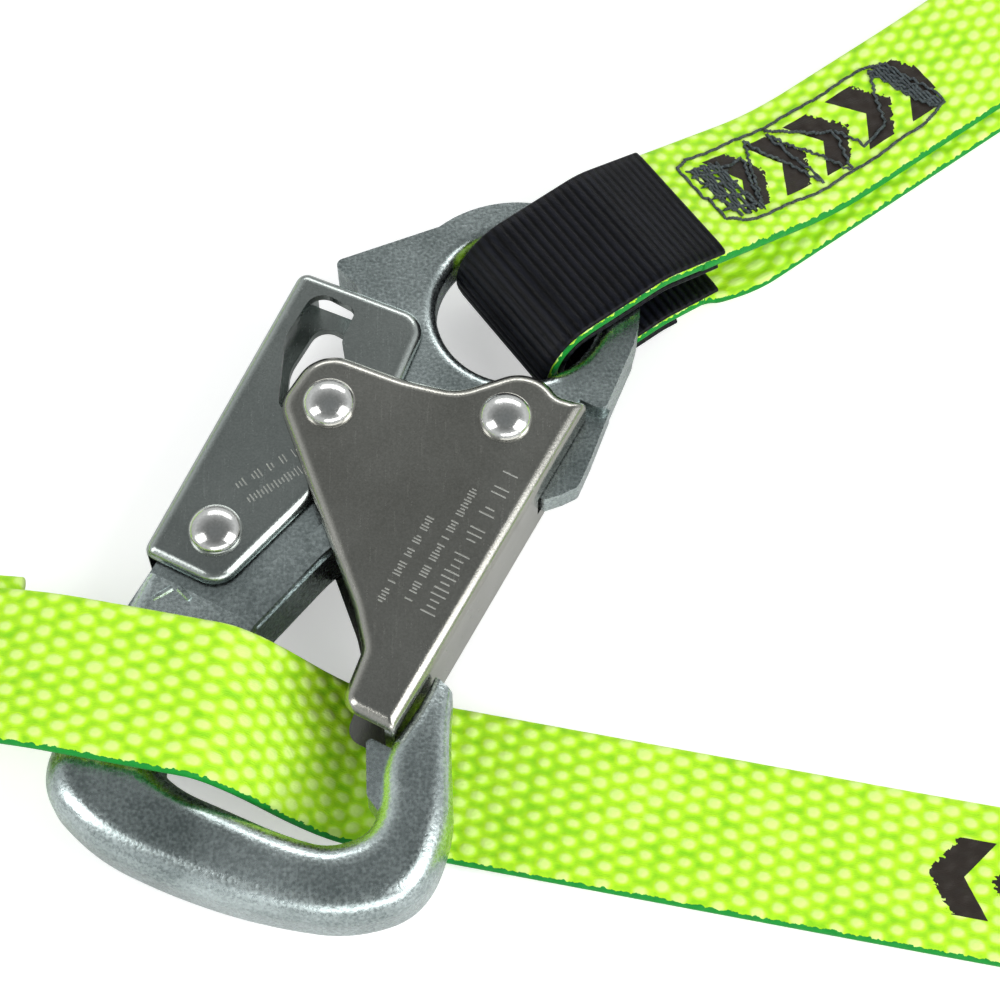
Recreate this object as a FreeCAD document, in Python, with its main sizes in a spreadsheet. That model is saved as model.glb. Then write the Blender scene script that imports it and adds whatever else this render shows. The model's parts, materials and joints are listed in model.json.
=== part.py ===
import FreeCAD, Part
import math
import os

# Shock absorbing lanyard, tied back: webbing runs from a snap hook, round through that
# hook's own throat, on to a tear-webbing shock absorber and a second snap hook.
# Frame: millimetres, +Z up, the lanyard lies on the plane z = 0.
# Each hook is drawn in its own frame: the gate's pivot is the origin, +Y points to the eye,
# +X points across to the nose, and z = 0 is the middle plane of the forging.

# Name, value and meaning of each driving dimension (millimetres or degrees).
DIMENSIONS = [
    ("webbing_width", 25.0, "width of the 1 inch webbing"),
    ("webbing_thickness", 2.2, "thickness of the webbing"),
    ("hook_plane_height", 11.0, "middle plane of a hook above the resting surface"),
    ("flange_thickness", 8.6, "forging at the eye and under the lever"),
    ("ridge_thickness", 12.2, "forged bar between pivot and bowl"),
    ("bowl_thickness", 13.0, "forging at the bowl and nose"),
    ("bowl_rounding", 4.6, "edge radius of the bowl"),
    ("eye_across", -9.0, "eye centre, across from the gate pivot"),
    ("eye_along", 21.0, "eye centre, along from the gate pivot"),
    ("eye_hole_radius", 13.4, "hole that the webbing passes through"),
    ("eye_rim_radius", 20.0, "outside of the eye's round rim"),
    ("gate_reach", 54.4, "gate pivot to the end of the gate"),
    ("gate_face", 10.1, "gate pivot to the outer face of the gate's web"),
    ("gate_width", 16.4, "outside width of the gate channel"),
    ("gate_sheet", 1.6, "sheet thickness of the gate"),
    ("lever_sheet", 1.5, "sheet thickness of the lock lever"),
    ("lever_clearance", 0.2, "gap between lever and gate side plates"),
    ("bowl_depth", 74.6, "gate pivot to the inside floor of the bowl"),
    ("bowl_bar", 14.6, "width of the bar round the bowl"),
    ("nose_gap", 0.35, "gap between the closed gate and the nose"),
    ("rivet_shank_radius", 3.0, "all rivet shanks"),
    ("rivet_head_radius", 4.3, "domed heads"),
    ("rivet_head_height", 2.6, "domed heads"),
    ("rivet_clearance", 0.05, "running clearance round a shank"),
    ("pin_across", -25.9, "lock pin, across from the gate pivot"),
    ("pin_along", -11.0, "lock pin, along from the gate pivot"),
    ("lever_rivet_across", -30.9, "lever rivet, across from the gate pivot"),
    ("lever_rivet_along", -38.0, "lever rivet, along from the gate pivot"),
    ("spring_wire", 1.0, "wire of both torsion springs"),
    ("pad_inner", 1.2, "thickness of the wear pad's inner layer"),
    ("pad_outer", 1.4, "thickness of the wear pad's outer layer"),
    ("pad_length", 33.0, "wear pad, from the eye's centre"),
    ("soft_gap", 0.3, "gap between webbing or pad and metal"),
    ("anchor_heading", 36.4, "direction of the anchor leg from +X"),
    ("hook_heading", 61.8, "direction of the anchor hook's eye from +X"),
    ("absorber_length", 200.0, "shock absorber cover"),
    ("absorber_width", 42.0, "shock absorber cover"),
    ("absorber_height", 26.0, "shock absorber cover"),
    ("cover_wall", 1.5, "fabric of the absorber's cover"),
]

doc = FreeCAD.newDocument("shock_absorbing_lanyard")
sheet = doc.addObject("Spreadsheet::Sheet", "dimensions")
for row, (alias, value, meaning) in enumerate(DIMENSIONS, start=1):
    sheet.set(f"A{row}", meaning)
    sheet.set(f"B{row}", str(value))
    sheet.setAlias(f"B{row}", alias)
doc.recompute()
size = {alias: float(sheet.get(alias)) for alias, _, _ in DIMENSIONS}

PARTS = []
UP = FreeCAD.Vector(0, 0, 1)
CUT_LENGTH = 60.0  # longer than any hook piece is thick


def vector(x, y, z=0.0):
    return FreeCAD.Vector(x, y, z)


def keep(piece, label, placement=None):
    """Names a finished piece, places it and lists it for export."""
    piece.Label = label
    if placement is not None:
        piece.Placement = placement
    PARTS.append(piece)
    return piece


# ---------------------------------------------------------------- outlines and sketches


def rounded(points, closed=True):
    """Straight edges joined by tangent arcs, from (x, y, radius) corners."""
    count = len(points)
    corners = range(count) if closed else range(1, count - 1)
    starts, ends, arcs = {}, {}, {}
    for i in corners:
        before, here, after = (vector(*points[(i + k) % count][:2]) for k in (-1, 0, 1))
        radius = points[i][2]
        towards_before = (before - here).normalize()
        towards_after = (after - here).normalize()
        half = towards_before.getAngle(towards_after) / 2
        if radius <= 0:
            starts[i] = ends[i] = here
            continue
        reach = radius / math.tan(half)
        starts[i] = here + towards_before * reach
        ends[i] = here + towards_after * reach
        bisector = (towards_before + towards_after).normalize()
        middle = here + bisector * (radius / math.sin(half) - radius)
        arcs[i] = Part.Arc(starts[i], middle, ends[i])
    if not closed:
        starts[0] = ends[0] = vector(*points[0][:2])
        starts[count - 1] = ends[count - 1] = vector(*points[-1][:2])
    edges = []
    for i in range(count if closed else count - 1):
        if i in arcs:
            edges.append(arcs[i])
        following = (i + 1) % count
        if (starts[following] - ends[i]).Length > 1e-6:
            edges.append(Part.LineSegment(ends[i], starts[following]))
    return edges


def new_body(name):
    return doc.addObject("PartDesign::Body", name)


def add_sketch(body, name, geometry, plane="XY_Plane"):
    sketch = body.newObject("Sketcher::SketchObject", name)
    origin_plane = next(o for o in body.Origin.OriginFeatures if o.Role == plane)
    sketch.AttachmentSupport = [(origin_plane, "")]
    sketch.MapMode = "FlatFace"
    for item in geometry:
        sketch.addGeometry(item, False)
    return sketch


def circle(x, y, radius):
    return [Part.Circle(vector(x, y), UP, radius)]


def pad(body, name, geometry, thickness):
    """Adds material on both sides of the middle plane. thickness is a sheet expression."""
    feature = body.newObject("PartDesign::Pad", name)
    feature.Profile = add_sketch(body, name + "_outline", geometry)
    feature.SideType = "Symmetric"
    feature.setExpression("Length", thickness)
    return feature


def pocket(body, name, geometry, thickness=None):
    """Cuts on both sides of the middle plane, through everything unless a thickness is given."""
    feature = body.newObject("PartDesign::Pocket", name)
    feature.Profile = add_sketch(body, name + "_outline", geometry)
    feature.SideType = "Symmetric"
    if thickness is None:
        feature.Length = CUT_LENGTH
    else:
        feature.setExpression("Length", thickness)
    return feature


def fillet(body, name, feature, wanted, radius):
    """Rounds the edges of a feature that wanted() picks."""
    doc.recompute()
    edges = [f"Edge{i}" for i, e in enumerate(feature.Shape.Edges, start=1) if wanted(e)]
    rounding = body.newObject("PartDesign::Fillet", name)
    rounding.Base = (feature, edges)
    rounding.setExpression("Radius", radius)
    doc.recompute()
    return rounding


def at_height(edge, height, slack=0.01):
    box = edge.BoundBox
    return abs(abs(box.ZMax) - height) < slack and box.ZLength < slack


# ---------------------------------------------------------------- hook pieces


def rivet(name, half_grip, across, along, placement):
    """A round bar with rounded ends, turned down to the shank between its two heads."""
    shank, head, height = (size[k] for k in ("rivet_shank_radius", "rivet_head_radius", "rivet_head_height"))
    top = half_grip + height
    body = new_body(name + "_body")
    blank = pad(body, name + "_blank", circle(0, 0, head), f"{2 * half_grip} + 2 * dimensions.rivet_head_height")
    fillet(body, name + "_domes", blank, lambda edge: at_height(edge, top), "dimensions.rivet_head_height * 0.92")
    ring_cut = circle(0, 0, shank) + circle(0, 0, head + 1)
    pocket(body, name + "_shank", ring_cut, str(2 * half_grip))
    return keep(body, name, placement * FreeCAD.Placement(vector(across, along), FreeCAD.Rotation()))


def forged_bar(name, stations):
    """A bar of rounded rectangles lofted through (outer point, inner point, thickness, rounding)."""
    sections = []
    for number, (outer, inner, thickness, rounding) in enumerate(stations):
        outer, inner = vector(*outer), vector(*inner)
        middle, across = (outer + inner) * 0.5, (outer - inner).normalize()
        half_width, half = (outer - inner).Length / 2, thickness / 2
        corners = [
            (-half_width, -half, rounding), (half_width, -half, rounding),
            (half_width, half, rounding), (-half_width, half, rounding),
        ]
        turn = FreeCAD.Rotation(across, UP, across.cross(UP), "XYZ")
        wire = Part.Wire([edge.toShape() for edge in rounded(corners)])
        wire.Placement = FreeCAD.Placement(middle, turn)
        section = doc.addObject("Part::Feature", f"{name}_section_{number}")
        section.Shape = wire
        sections.append(section)
    bar = doc.addObject("Part::Loft", name)
    bar.Sections = sections
    bar.Solid = True
    bar.MaxDegree = 2
    return bar


def hook_body(prefix, placement):
    """The forging: an eye, a spine under the lever, a bowl, and a nose with a tongue."""
    face, reach, depth, bar = (size[k] for k in ("gate_face", "gate_reach", "bowl_depth", "bowl_bar"))
    eye_x, eye_y = size["eye_across"], size["eye_along"]
    lever_x, lever_y = size["lever_rivet_across"], size["lever_rivet_along"]
    inner_nose = face + size["nose_gap"]
    lug = face - size["gate_sheet"] - 0.4
    body = new_body(prefix + "_forging")
    pad(body, prefix + "_eye", circle(eye_x, eye_y, size["eye_rim_radius"]), "dimensions.flange_thickness")
    spine = [
        (-40.0, 13.8, 1.2), (eye_x - 10.1, eye_y + 17.3, 0), (eye_x, eye_y + 15, 0), (10.9, 24.5, 2),
        (12.4, 10.4, 1.5), (6.0, 10.4, 0), (lug - 1.0, 3.0, 0), (lug - 1.2, -3.0, 0), (-1.0, -8.0, 0),
        (-7.5, -21.0, 12), (-13.5, -31.6, 20), (-17.3, -49.0, 0), (-17.3, -55.0, 0), (-36.9, -55.0, 0),
        (-36.7, -25.0, 3), (-27.0, -19.2, 4), (-21.3, -15.8, 3), (-21.3, 3.2, 4), (-27.5, 7.4, 3),
        (-34.0, 12.0, 2),
    ]
    pad(body, prefix + "_spine", rounded(spine), "dimensions.flange_thickness")
    pad(body, prefix + "_lug", circle(0, 0, lug), "dimensions.flange_thickness")
    ridge = [
        (-14.0, -21.2, 1.5), (-8.9, -22.8, 1.5), (-13.9, -31.6, 20), (-17.5, -49.0, 0), (-17.5, -54.0, 0),
        (-26.5, -54.0, 0), (-24.0, -47.5, 5), (-18.8, -34.0, 12),
    ]
    pad(body, prefix + "_ridge", rounded(ridge), "dimensions.ridge_thickness")
    # The tongue stands between the gate's side plates, just outside the sweep of the gate's end.
    sweep = math.hypot(face, reach) + size["nose_gap"]
    tongue_left, tongue_right = face - 4.4, inner_nose + 4.0
    tongue_top = -math.sqrt(sweep**2 - tongue_left**2)
    tongue = [
        (tongue_left, tongue_top, 0.8), (tongue_right, tongue_top, 0),
        (tongue_right, -depth + 9.0, 0), (inner_nose, -depth + 11.0, 2),
    ]
    between_plates = "(dimensions.gate_width - 2 * dimensions.gate_sheet)"
    pad(body, prefix + "_tongue", rounded(tongue), between_plates + " * 0.45")
    fin_edge = face + 4.2
    fin = [
        (5.0, 12.0, 0), (fin_edge - 1.6, 12.0, 0), (fin_edge - 0.3, 2.6, 8), (fin_edge + 0.2, -2.6, 1.5),
        (fin_edge - 1.4, -5.0, 1.5), (face + 0.8, -7.2, 0.5), (5.0, -7.2, 0),
    ]
    pad(body, prefix + "_stop_fin", rounded(fin), "dimensions.flange_thickness / 2")
    hole = pocket(body, prefix + "_eye_hole", circle(eye_x, eye_y, size["eye_hole_radius"]))
    doc.recompute()

    def on_eye(edge):
        box = edge.BoundBox
        centred = math.hypot(box.Center.x - eye_x, box.Center.y - eye_y) < 0.1
        hole_sized = abs(box.XLength - 2 * size["eye_hole_radius"]) < 0.1
        return at_height(edge, size["flange_thickness"] / 2) and centred and hole_sized
    fillet(body, prefix + "_eye_edges", hole, on_eye, "dimensions.flange_thickness * 0.28")
    running = size["rivet_shank_radius"] + size["rivet_clearance"]
    pocket(body, prefix + "_pivot_hole", circle(0, 0, running))
    pocket(body, prefix + "_lever_hole", circle(lever_x, lever_y, running))
    # Seats for the two torsion springs, and a slot for the lever spring's arm, in the front face only.
    seat_radius = spring_radius() + 1.1
    arm_low, arm_high = lever_y + spring_radius() - 1.1, lever_y + spring_radius() + 1.1
    slot = [
        (lever_x - 9, arm_low, 0), (lever_x, arm_low, 0), (lever_x, arm_high, 0), (lever_x - 9, arm_high, 0),
    ]
    for label, geometry in (
        ("gate_spring_seat", circle(0, 0, seat_radius)),
        ("lever_spring_seat", circle(lever_x, lever_y, seat_radius)),
        ("lever_spring_slot", rounded(slot)),
    ):
        seat = body.newObject("PartDesign::Pocket", f"{prefix}_{label}")
        sketch = add_sketch(body, f"{prefix}_{label}_outline", geometry)
        sketch.AttachmentOffset = FreeCAD.Placement(vector(0, 0, SPRING_FLOOR), FreeCAD.Rotation())
        seat.Profile = sketch
        seat.Reversed = True
        seat.Length = CUT_LENGTH / 2
    top, middle, nose = size["ridge_thickness"], size["bowl_thickness"], size["ridge_thickness"] - 3
    soft = size["bowl_rounding"]
    right = inner_nose + bar
    bowl = forged_bar(prefix + "_bowl", [
        ((-36.8, -48.6), (-17.2, -48.6), top, 2.0),
        ((-36.6, -56.0), (-18.0, -56.0), middle, soft - 1.2),
        ((-36.2, -66.0), (-19.2, -65.0), middle, soft),
        ((-35.2, -depth - 3.4), (-19.8, -depth + 4.0), middle, soft),
        ((-31.0, -depth - 12.0), (-18.0, -depth - 0.2), middle, soft),
        ((-22.0, -depth - 15.0), (-14.0, -depth - 1.2), middle, soft),
        ((-8.0, -depth - 14.8), (-6.0, -depth - 0.8), middle, soft),
        ((6.0, -depth - 12.2), (3.0, -depth), middle, soft),
        ((18.0, -depth - 7.6), (9.6, -depth + 1.8), middle, soft),
        ((right - 0.4, -depth - 0.8), (inner_nose + 2.6, -depth + 5.6), middle, soft),
        ((right + 0.2, -depth + 8.4), (inner_nose + 2.6, -depth + 9.6), middle, soft),
        ((right - 3.2, -depth + 17.0), (inner_nose + 0.5, -depth + 14.6), middle, soft - 0.8),
        ((inner_nose + 6.8, -reach + 4.6), (inner_nose, -reach + 3.0), middle - 1, 2.6),
        ((inner_nose + 3.6, -reach + 11.0), (inner_nose, -reach + 12.0), nose, 1.3),
    ])
    forging = doc.addObject("Part::MultiFuse", prefix + "_whole_forging")
    forging.Shapes = [body, bowl]
    return keep(forging, prefix + "_hook_body", placement)


SPRING_FLOOR = 1.6  # the spring seats' floor above the middle plane


def spring_radius():
    """Middle of a torsion spring's wire, from the rivet's axis."""
    return size["rivet_shank_radius"] + size["spring_wire"] / 2 + 0.5


def torsion_spring(name, x, y, top, turns, arm, placement):
    """A coil round a rivet with one straight arm at its top, given as (direction, length)."""
    wire, radius = size["spring_wire"], spring_radius()
    bottom = SPRING_FLOOR + 0.1 + wire / 2
    pitch = (top - bottom) / turns
    direction, length = arm
    path = Part.Wire(Part.makeHelix(pitch, pitch * turns, radius))
    section = Part.Wire(Part.Circle(vector(radius, 0), vector(0, 1, 0), wire / 2).toShape())
    coil = path.makePipeShell([section], True, True)
    coil.translate(vector(0, 0, bottom))
    # The coil is turned so that its last point has the arm as its tangent.
    coil.rotate(vector(0, 0), UP, direction - 90 - 360 * turns)
    foot = FreeCAD.Rotation(UP, direction - 90).multVec(vector(radius, 0)) + vector(0, 0, top)
    along = FreeCAD.Rotation(UP, direction).multVec(vector(1, 0))
    straight = Part.makeCylinder(wire / 2, length, foot, along)
    spring = doc.addObject("Part::Feature", name)
    spring.Shape = coil.fuse(Part.makeSphere(wire / 2, foot)).fuse(straight)
    return keep(spring, name, placement * FreeCAD.Placement(vector(x, y), FreeCAD.Rotation()))


def gate(prefix, placement):
    """A folded channel: two side plates joined by a web that closes on the nose."""
    face, reach = size["gate_face"], size["gate_reach"]
    pin_x, pin_y = size["pin_across"], size["pin_along"]
    sheet_inside = face - size["gate_sheet"]
    plates = [
        (face, 9.0, 0.6), (5.4, 8.0, 3), (-0.6, 11.0, 7), (-9.4, 1.2, 8), (-18.0, -0.9, 30),
        (pin_x - 7.1, pin_y + 8.6, 6.5), (pin_x - 7.6, pin_y - 3.2, 5.5), (-5.6, -reach + 15.2, 14),
        (-0.8, -reach + 9.6, 4), (0.7, -reach, 3), (face, -reach, 0.5),
    ]
    body = new_body(prefix + "_gate_channel")
    blank = pad(body, prefix + "_gate_blank", rounded(plates), "dimensions.gate_width")

    def on_bends(edge):
        box = edge.BoundBox
        long_edge = box.YLength > reach / 2 and abs(box.Center.x - face) < 0.01
        return long_edge and at_height(edge, size["gate_width"] / 2)
    fillet(body, prefix + "_gate_bends", blank, on_bends, "dimensions.gate_sheet + 0.6")
    inside = [(-60, -80, 0), (sheet_inside, -80, 0), (sheet_inside, 40, 0), (-60, 40, 0)]
    pocket(body, prefix + "_gate_inside", rounded(inside), "dimensions.gate_width - 2 * dimensions.gate_sheet")
    slot = [(3.0, -8.0, 0), (face + 5, -8.0, 0), (face + 5, 30, 0), (3.0, 30, 0)]
    pocket(body, prefix + "_gate_slot", rounded(slot), "dimensions.flange_thickness / 2 + 1")
    shank = size["rivet_shank_radius"]
    pocket(body, prefix + "_gate_pivot_hole", circle(0, 0, shank + size["rivet_clearance"]))
    pocket(body, prefix + "_gate_pin_hole", circle(pin_x, pin_y, shank))
    return keep(body, prefix + "_gate", placement)


def lever(prefix, placement):
    """The lock lever: a narrower channel inside the gate, with a slot that holds the lock pin."""
    pin_x, pin_y = size["pin_across"], size["pin_along"]
    rivet_x, rivet_y = size["lever_rivet_across"], size["lever_rivet_along"]
    half = size["gate_width"] / 2 - size["gate_sheet"] - size["lever_clearance"]
    plates = [
        (-43.2, 9.6, 2.0), (-20.2, 11.6, 4.5), (-18.0, -4.0, 8), (-20.6, -26.0, 20),
        (rivet_x + 5.5, rivet_y - 8.0, 4.5), (rivet_x - 8.5, rivet_y - 8.3, 2.0),
    ]
    body = new_body(prefix + "_lever_channel")
    blank = body.newObject("PartDesign::Pad", prefix + "_lever_blank")
    blank.Profile = add_sketch(body, prefix + "_lever_outline", rounded(plates))
    blank.SideType = "Symmetric"
    outside = "dimensions.gate_width - 2 * (dimensions.gate_sheet + dimensions.lever_clearance)"
    blank.setExpression("Length", outside)

    def on_bends(edge):
        box = edge.BoundBox
        return box.YLength > 45 and box.Center.x < -38 and at_height(edge, half)
    fillet(body, prefix + "_lever_bends", blank, on_bends, "dimensions.lever_sheet + 0.5")
    wall = size["lever_sheet"]
    inside = [(-43.4 + wall, 40, 0), (-39.3 + wall, -60, 0), (20, -60, 0), (20, 40, 0)]
    inside_width = outside + " - 2 * dimensions.lever_sheet"
    pocket(body, prefix + "_lever_inside", rounded(inside), inside_width)
    window = [
        (-38.9, 7.2, 3), (-31.2, 6.8, 1.5), (-30.3, 0.6, 1.0), (pin_x + 4.4, pin_y + 0.5, 2.5),
        (pin_x + 1.8, pin_y - 4.7, 2.5), (pin_x - 7.7, pin_y - 3.4, 3), (-38.9, -3.0, 8),
    ]
    pocket(body, prefix + "_lever_window", rounded(window))
    pocket(body, prefix + "_lever_rivet_hole",
           circle(rivet_x, rivet_y, size["rivet_shank_radius"] + size["rivet_clearance"]))
    return keep(body, prefix + "_lock_lever", placement)


def ring(name, inner, outer, low, high, placement):
    """A plain bush, cut from two cylinders that the sheet drives."""
    tube = doc.addObject("Part::Cylinder", name + "_outside")
    bore = doc.addObject("Part::Cylinder", name + "_bore")
    tube.setExpression("Radius", outer)
    bore.setExpression("Radius", inner)
    for cylinder in (tube, bore):
        cylinder.setExpression("Height", f"({high}) - ({low})")
        cylinder.setExpression("Placement.Base.z", low)
    cut = doc.addObject("Part::Cut", name + "_cut")
    cut.Base, cut.Tool = tube, bore
    return keep(cut, name, placement)


def hook(prefix, placement):
    """One complete double-locking snap hook."""
    hook_body(prefix, placement)
    gate(prefix, placement)
    lever(prefix, placement)
    gate_grip = size["gate_width"] / 2
    lever_grip = gate_grip - size["gate_sheet"] - size["lever_clearance"]
    lever_x, lever_y = size["lever_rivet_across"], size["lever_rivet_along"]
    rivet(prefix + "_gate_rivet", gate_grip, 0, 0, placement)
    rivet(prefix + "_lock_pin", gate_grip, size["pin_across"], size["pin_along"], placement)
    rivet(prefix + "_lever_rivet", lever_grip, lever_x, lever_y, placement)
    flange_top = size["flange_thickness"] / 2
    wire = size["spring_wire"]
    torsion_spring(prefix + "_gate_spring", 0, 0, flange_top + wire / 2 + 0.2, 2.25, (-72.0, 12.0), placement)
    torsion_spring(prefix + "_lever_spring", lever_x, lever_y, 3.5, 1.25, (180.0, 7.0), placement)
    bush = placement * FreeCAD.Placement(vector(0, 0), FreeCAD.Rotation(vector(1, 0, 0), 180))
    ring(prefix + "_gate_spacer", "dimensions.rivet_shank_radius + dimensions.rivet_clearance",
         "dimensions.rivet_shank_radius + 3.5", "dimensions.flange_thickness / 2 + 0.05",
         "dimensions.gate_width / 2 - dimensions.gate_sheet - 0.05", bush)


def hook_place(x, y, heading):
    """Puts a hook's own frame down with its eye pointing along heading."""
    turn = FreeCAD.Rotation(UP, heading - 90)
    return FreeCAD.Placement(vector(x, y, size["hook_plane_height"]), turn)


ANCHOR = hook_place(0.9, 10.0, size["hook_heading"])
PACK_Y = 215.0  # middle line of the shock absorber
PACK_LEFT, PACK_RIGHT = -140.0, -140.0 + size["absorber_length"]
HARNESS = hook_place(PACK_RIGHT + 73.0, PACK_Y - size["eye_across"], 180.0)
hook("anchor", ANCHOR)
hook("harness", HARNESS)

# ---------------------------------------------------------------- webbing


def offset_side(points, distance):
    """A line of (x, y) or (x, y, radius) points moved sideways, to its left if distance is positive.

    A corner without a radius gets the largest arc that fits its runs.
    """
    line = [vector(*point[:2]) for point in points]
    runs = [(b - a).normalize() for a, b in zip(line, line[1:])]
    lengths = [(b - a).Length for a, b in zip(line, line[1:])]
    moved = []
    for i, point in enumerate(line):
        before, after = runs[max(i - 1, 0)], runs[min(i, len(runs) - 1)]
        angle = before.getAngle(after)
        normal = (UP.cross(before) + UP.cross(after)).normalize()
        corner = point + normal * (distance / math.cos(angle / 2))
        if i in (0, len(line) - 1) or angle < 0.001:
            moved.append((corner.x, corner.y, 0))
            continue
        if len(points[i]) > 2:
            radius = points[i][2]
        else:
            radius = min(0.45 * min(lengths[i - 1], lengths[i]) / math.tan(angle / 2), 80)
        moved.append((corner.x, corner.y, radius - math.copysign(distance, before.cross(after).z * distance)))
    return moved


def band_edges(points, thickness):
    """Both sides and both ends of a strip."""
    left, right = offset_side(points, thickness / 2), offset_side(points, -thickness / 2)
    edges = rounded(left, closed=False) + rounded(right, closed=False)
    edges.append(Part.LineSegment(vector(*left[0][:2]), vector(*right[0][:2])))
    edges.append(Part.LineSegment(vector(*left[-1][:2]), vector(*right[-1][:2])))
    return edges


def band(name, points, placement, thickness=None, width="dimensions.webbing_width"):
    """A strip of webbing bent along points in its own XY plane, its width along Z."""
    body = new_body(name + "_body")
    pad(body, name + "_pad", band_edges(points, thickness or size["webbing_thickness"]), width)
    return keep(body, name, placement)


def upright(x, y, heading):
    """Stands a strip's XY plane up: X along heading, Y upwards."""
    along = FreeCAD.Rotation(UP, heading).multVec(vector(1, 0))
    return FreeCAD.Placement(vector(x, y), FreeCAD.Rotation(along, UP, along.cross(UP), "XYZ"))


def twist(name, start, end, start_turn, end_turn):
    """A quarter twist between (x, y, z) points. A turn of 0 is flat and 90 is on edge."""
    start, end = vector(*start), vector(*end)
    along = vector(end.x - start.x, end.y - start.y).normalize()
    half_width, half = size["webbing_width"] / 2, size["webbing_thickness"] / 2
    sections = []
    for step in range(TWIST_STEPS + 1):
        part_way = step / TWIST_STEPS
        eased = part_way * part_way * (3 - 2 * part_way)
        turn = math.radians(start_turn + (end_turn - start_turn) * eased)
        resting = half_width * math.sin(turn) + half * math.cos(turn)
        middle = start + (end - start) * part_way
        middle.z = max(resting, middle.z)
        across = UP.cross(along) * math.cos(turn) + UP * math.sin(turn)
        normal = along.cross(across)
        corners = [
            middle + across * (half_width * i) + normal * (half * j)
            for i, j in ((-1, -1), (1, -1), (1, 1), (-1, 1))
        ]
        section = doc.addObject("Part::Feature", f"{name}_section_{step}")
        section.Shape = Part.makePolygon(corners + corners[:1])
        sections.append(section)
    loft = doc.addObject("Part::Loft", name + "_loft")
    loft.Sections = sections
    loft.Solid = True
    loft.Ruled = True
    return keep(loft, name)


TWIST_STEPS = 8
FLAT = size["webbing_thickness"] / 2
EDGE = size["webbing_width"] / 2
LAYER = size["webbing_thickness"] * 1.5 + 0.1  # middle of the second layer up
PLANE = size["hook_plane_height"]

# The loop in each eye: webbing round one bend, with a wear pad inside it and one outside it.
# Points are (distance from the eye's centre, height).
BEND_START = 5.4
bend_radius = size["flange_thickness"] / 2 + size["soft_gap"] + size["pad_inner"] + FLAT
bend_left, bend_top, bend_bottom = BEND_START - bend_radius, PLANE + bend_radius, PLANE - bend_radius
EYE_BEND = [(bend_left, bend_top, bend_radius), (bend_left, bend_bottom, bend_radius)]


def wear_pads(prefix, top_end, bottom_end, outer_bottom_end, placement):
    """Both pads follow the webbing's own line. Each end is (distance, height) on that line."""
    top, bottom = [top_end, (21.0, bend_top, 20)], (22.0, bend_bottom, 12)
    inner_line = top + EYE_BEND + [bottom, bottom_end]
    outer_line = top + EYE_BEND + [bottom, outer_bottom_end]
    inside = offset_side(inner_line, FLAT + size["pad_inner"] / 2)
    outside = offset_side(outer_line, -FLAT - size["pad_outer"] / 2)
    width = "dimensions.webbing_width - 0.4"
    band(prefix + "_wear_pad_inner", inside, placement, size["pad_inner"], width)
    band(prefix + "_wear_pad_outer", outside, placement, size["pad_outer"], width)


def between(first, second, distance):
    """The point on a straight run at a distance from the eye's centre."""
    part_way = (distance - first[0]) / (second[0] - first[0])
    return (distance, first[1] + (second[1] - first[1]) * part_way)


pad_far = size["pad_length"]

# Anchor leg: the loop closes and is stitched flat, and then the webbing leaves.
eye_middle = vector(size["eye_across"], size["eye_along"])
anchor_eye = ANCHOR.multVec(eye_middle)
anchor_leg = upright(anchor_eye.x, anchor_eye.y, size["anchor_heading"])
STITCH_START, STITCH_END, LEG_END = 36.0, 92.0, 110.0
slope_foot = (60.0, LAYER, 40)
anchor_top = [(LEG_END, LAYER), slope_foot, (21.0, bend_top, 20)]
anchor_bottom = [(22.0, bend_bottom, 12), (36.0, FLAT, 10), (39.0, FLAT)]
band("anchor_leg", anchor_top + EYE_BEND + anchor_bottom, anchor_leg, width="dimensions.webbing_width - 0.4")
wear_pads(
    "anchor",
    between((21.0, bend_top), slope_foot, pad_far),
    between((22.0, bend_bottom), (36.0, FLAT), pad_far),
    between((22.0, bend_bottom), (36.0, FLAT), 25.0),
    anchor_leg,
)
# The webbing's cut end lies under the leg, a little to one side.
TAIL_SHIFT = 3.0
tail_turn = math.radians(size["anchor_heading"] - 90)
tail_place = upright(
    anchor_eye.x + TAIL_SHIFT * math.cos(tail_turn),
    anchor_eye.y + TAIL_SHIFT * math.sin(tail_turn),
    size["anchor_heading"],
)
band("anchor_tail", [(39.05, FLAT), (LEG_END - 1, FLAT)], tail_place)
# A stitched box: thread 17 mm wide, as a frame on the leg's upper face.
THREAD, BOX_WIDTH = 0.5, 17.0
box_line = [(STITCH_END, LAYER), slope_foot, between((21.0, bend_top), slope_foot, STITCH_START)]
box = new_body("anchor_box_stitch_body")
box_edges = band_edges(offset_side(box_line, -FLAT - THREAD / 2 - 0.02), THREAD)
pad(box, "anchor_box_stitch_pad", box_edges, str(BOX_WIDTH))
frame_inside = [
    (STITCH_START + 1.2, -5, 0), (STITCH_END - 1, -5, 0), (STITCH_END - 1, 40, 0), (STITCH_START + 1.2, 40, 0),
]
pocket(box, "anchor_box_stitch_inside", rounded(frame_inside), str(BOX_WIDTH - 2))
keep(box, "anchor_box_stitch", anchor_leg)

# The long run: out from the leg, back along the floor and through the hook's own throat.
heading = math.radians(size["anchor_heading"])
leg_out = vector(math.cos(heading), math.sin(heading))
twist_from = anchor_eye + leg_out * LEG_END
TWIST_LENGTH = 45.0
twist_to = anchor_eye + leg_out * (LEG_END + TWIST_LENGTH)
twist("webbing_twist_out", (twist_from.x, twist_from.y, LAYER), (twist_to.x, twist_to.y, EDGE), 0, 90)
# The strap through the throat is straight in plan. Its points are (distance along it, height).
strap_along = vector(0.9815, -0.1914).normalize()
strap_zero = vector(-30.0, -40.5)
strap_heading = math.degrees(math.atan2(strap_along.y, strap_along.x))
strap = upright(strap_zero.x, strap_zero.y, strap_heading)


def on_strap(distance):
    return strap_zero + strap_along * distance


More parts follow.
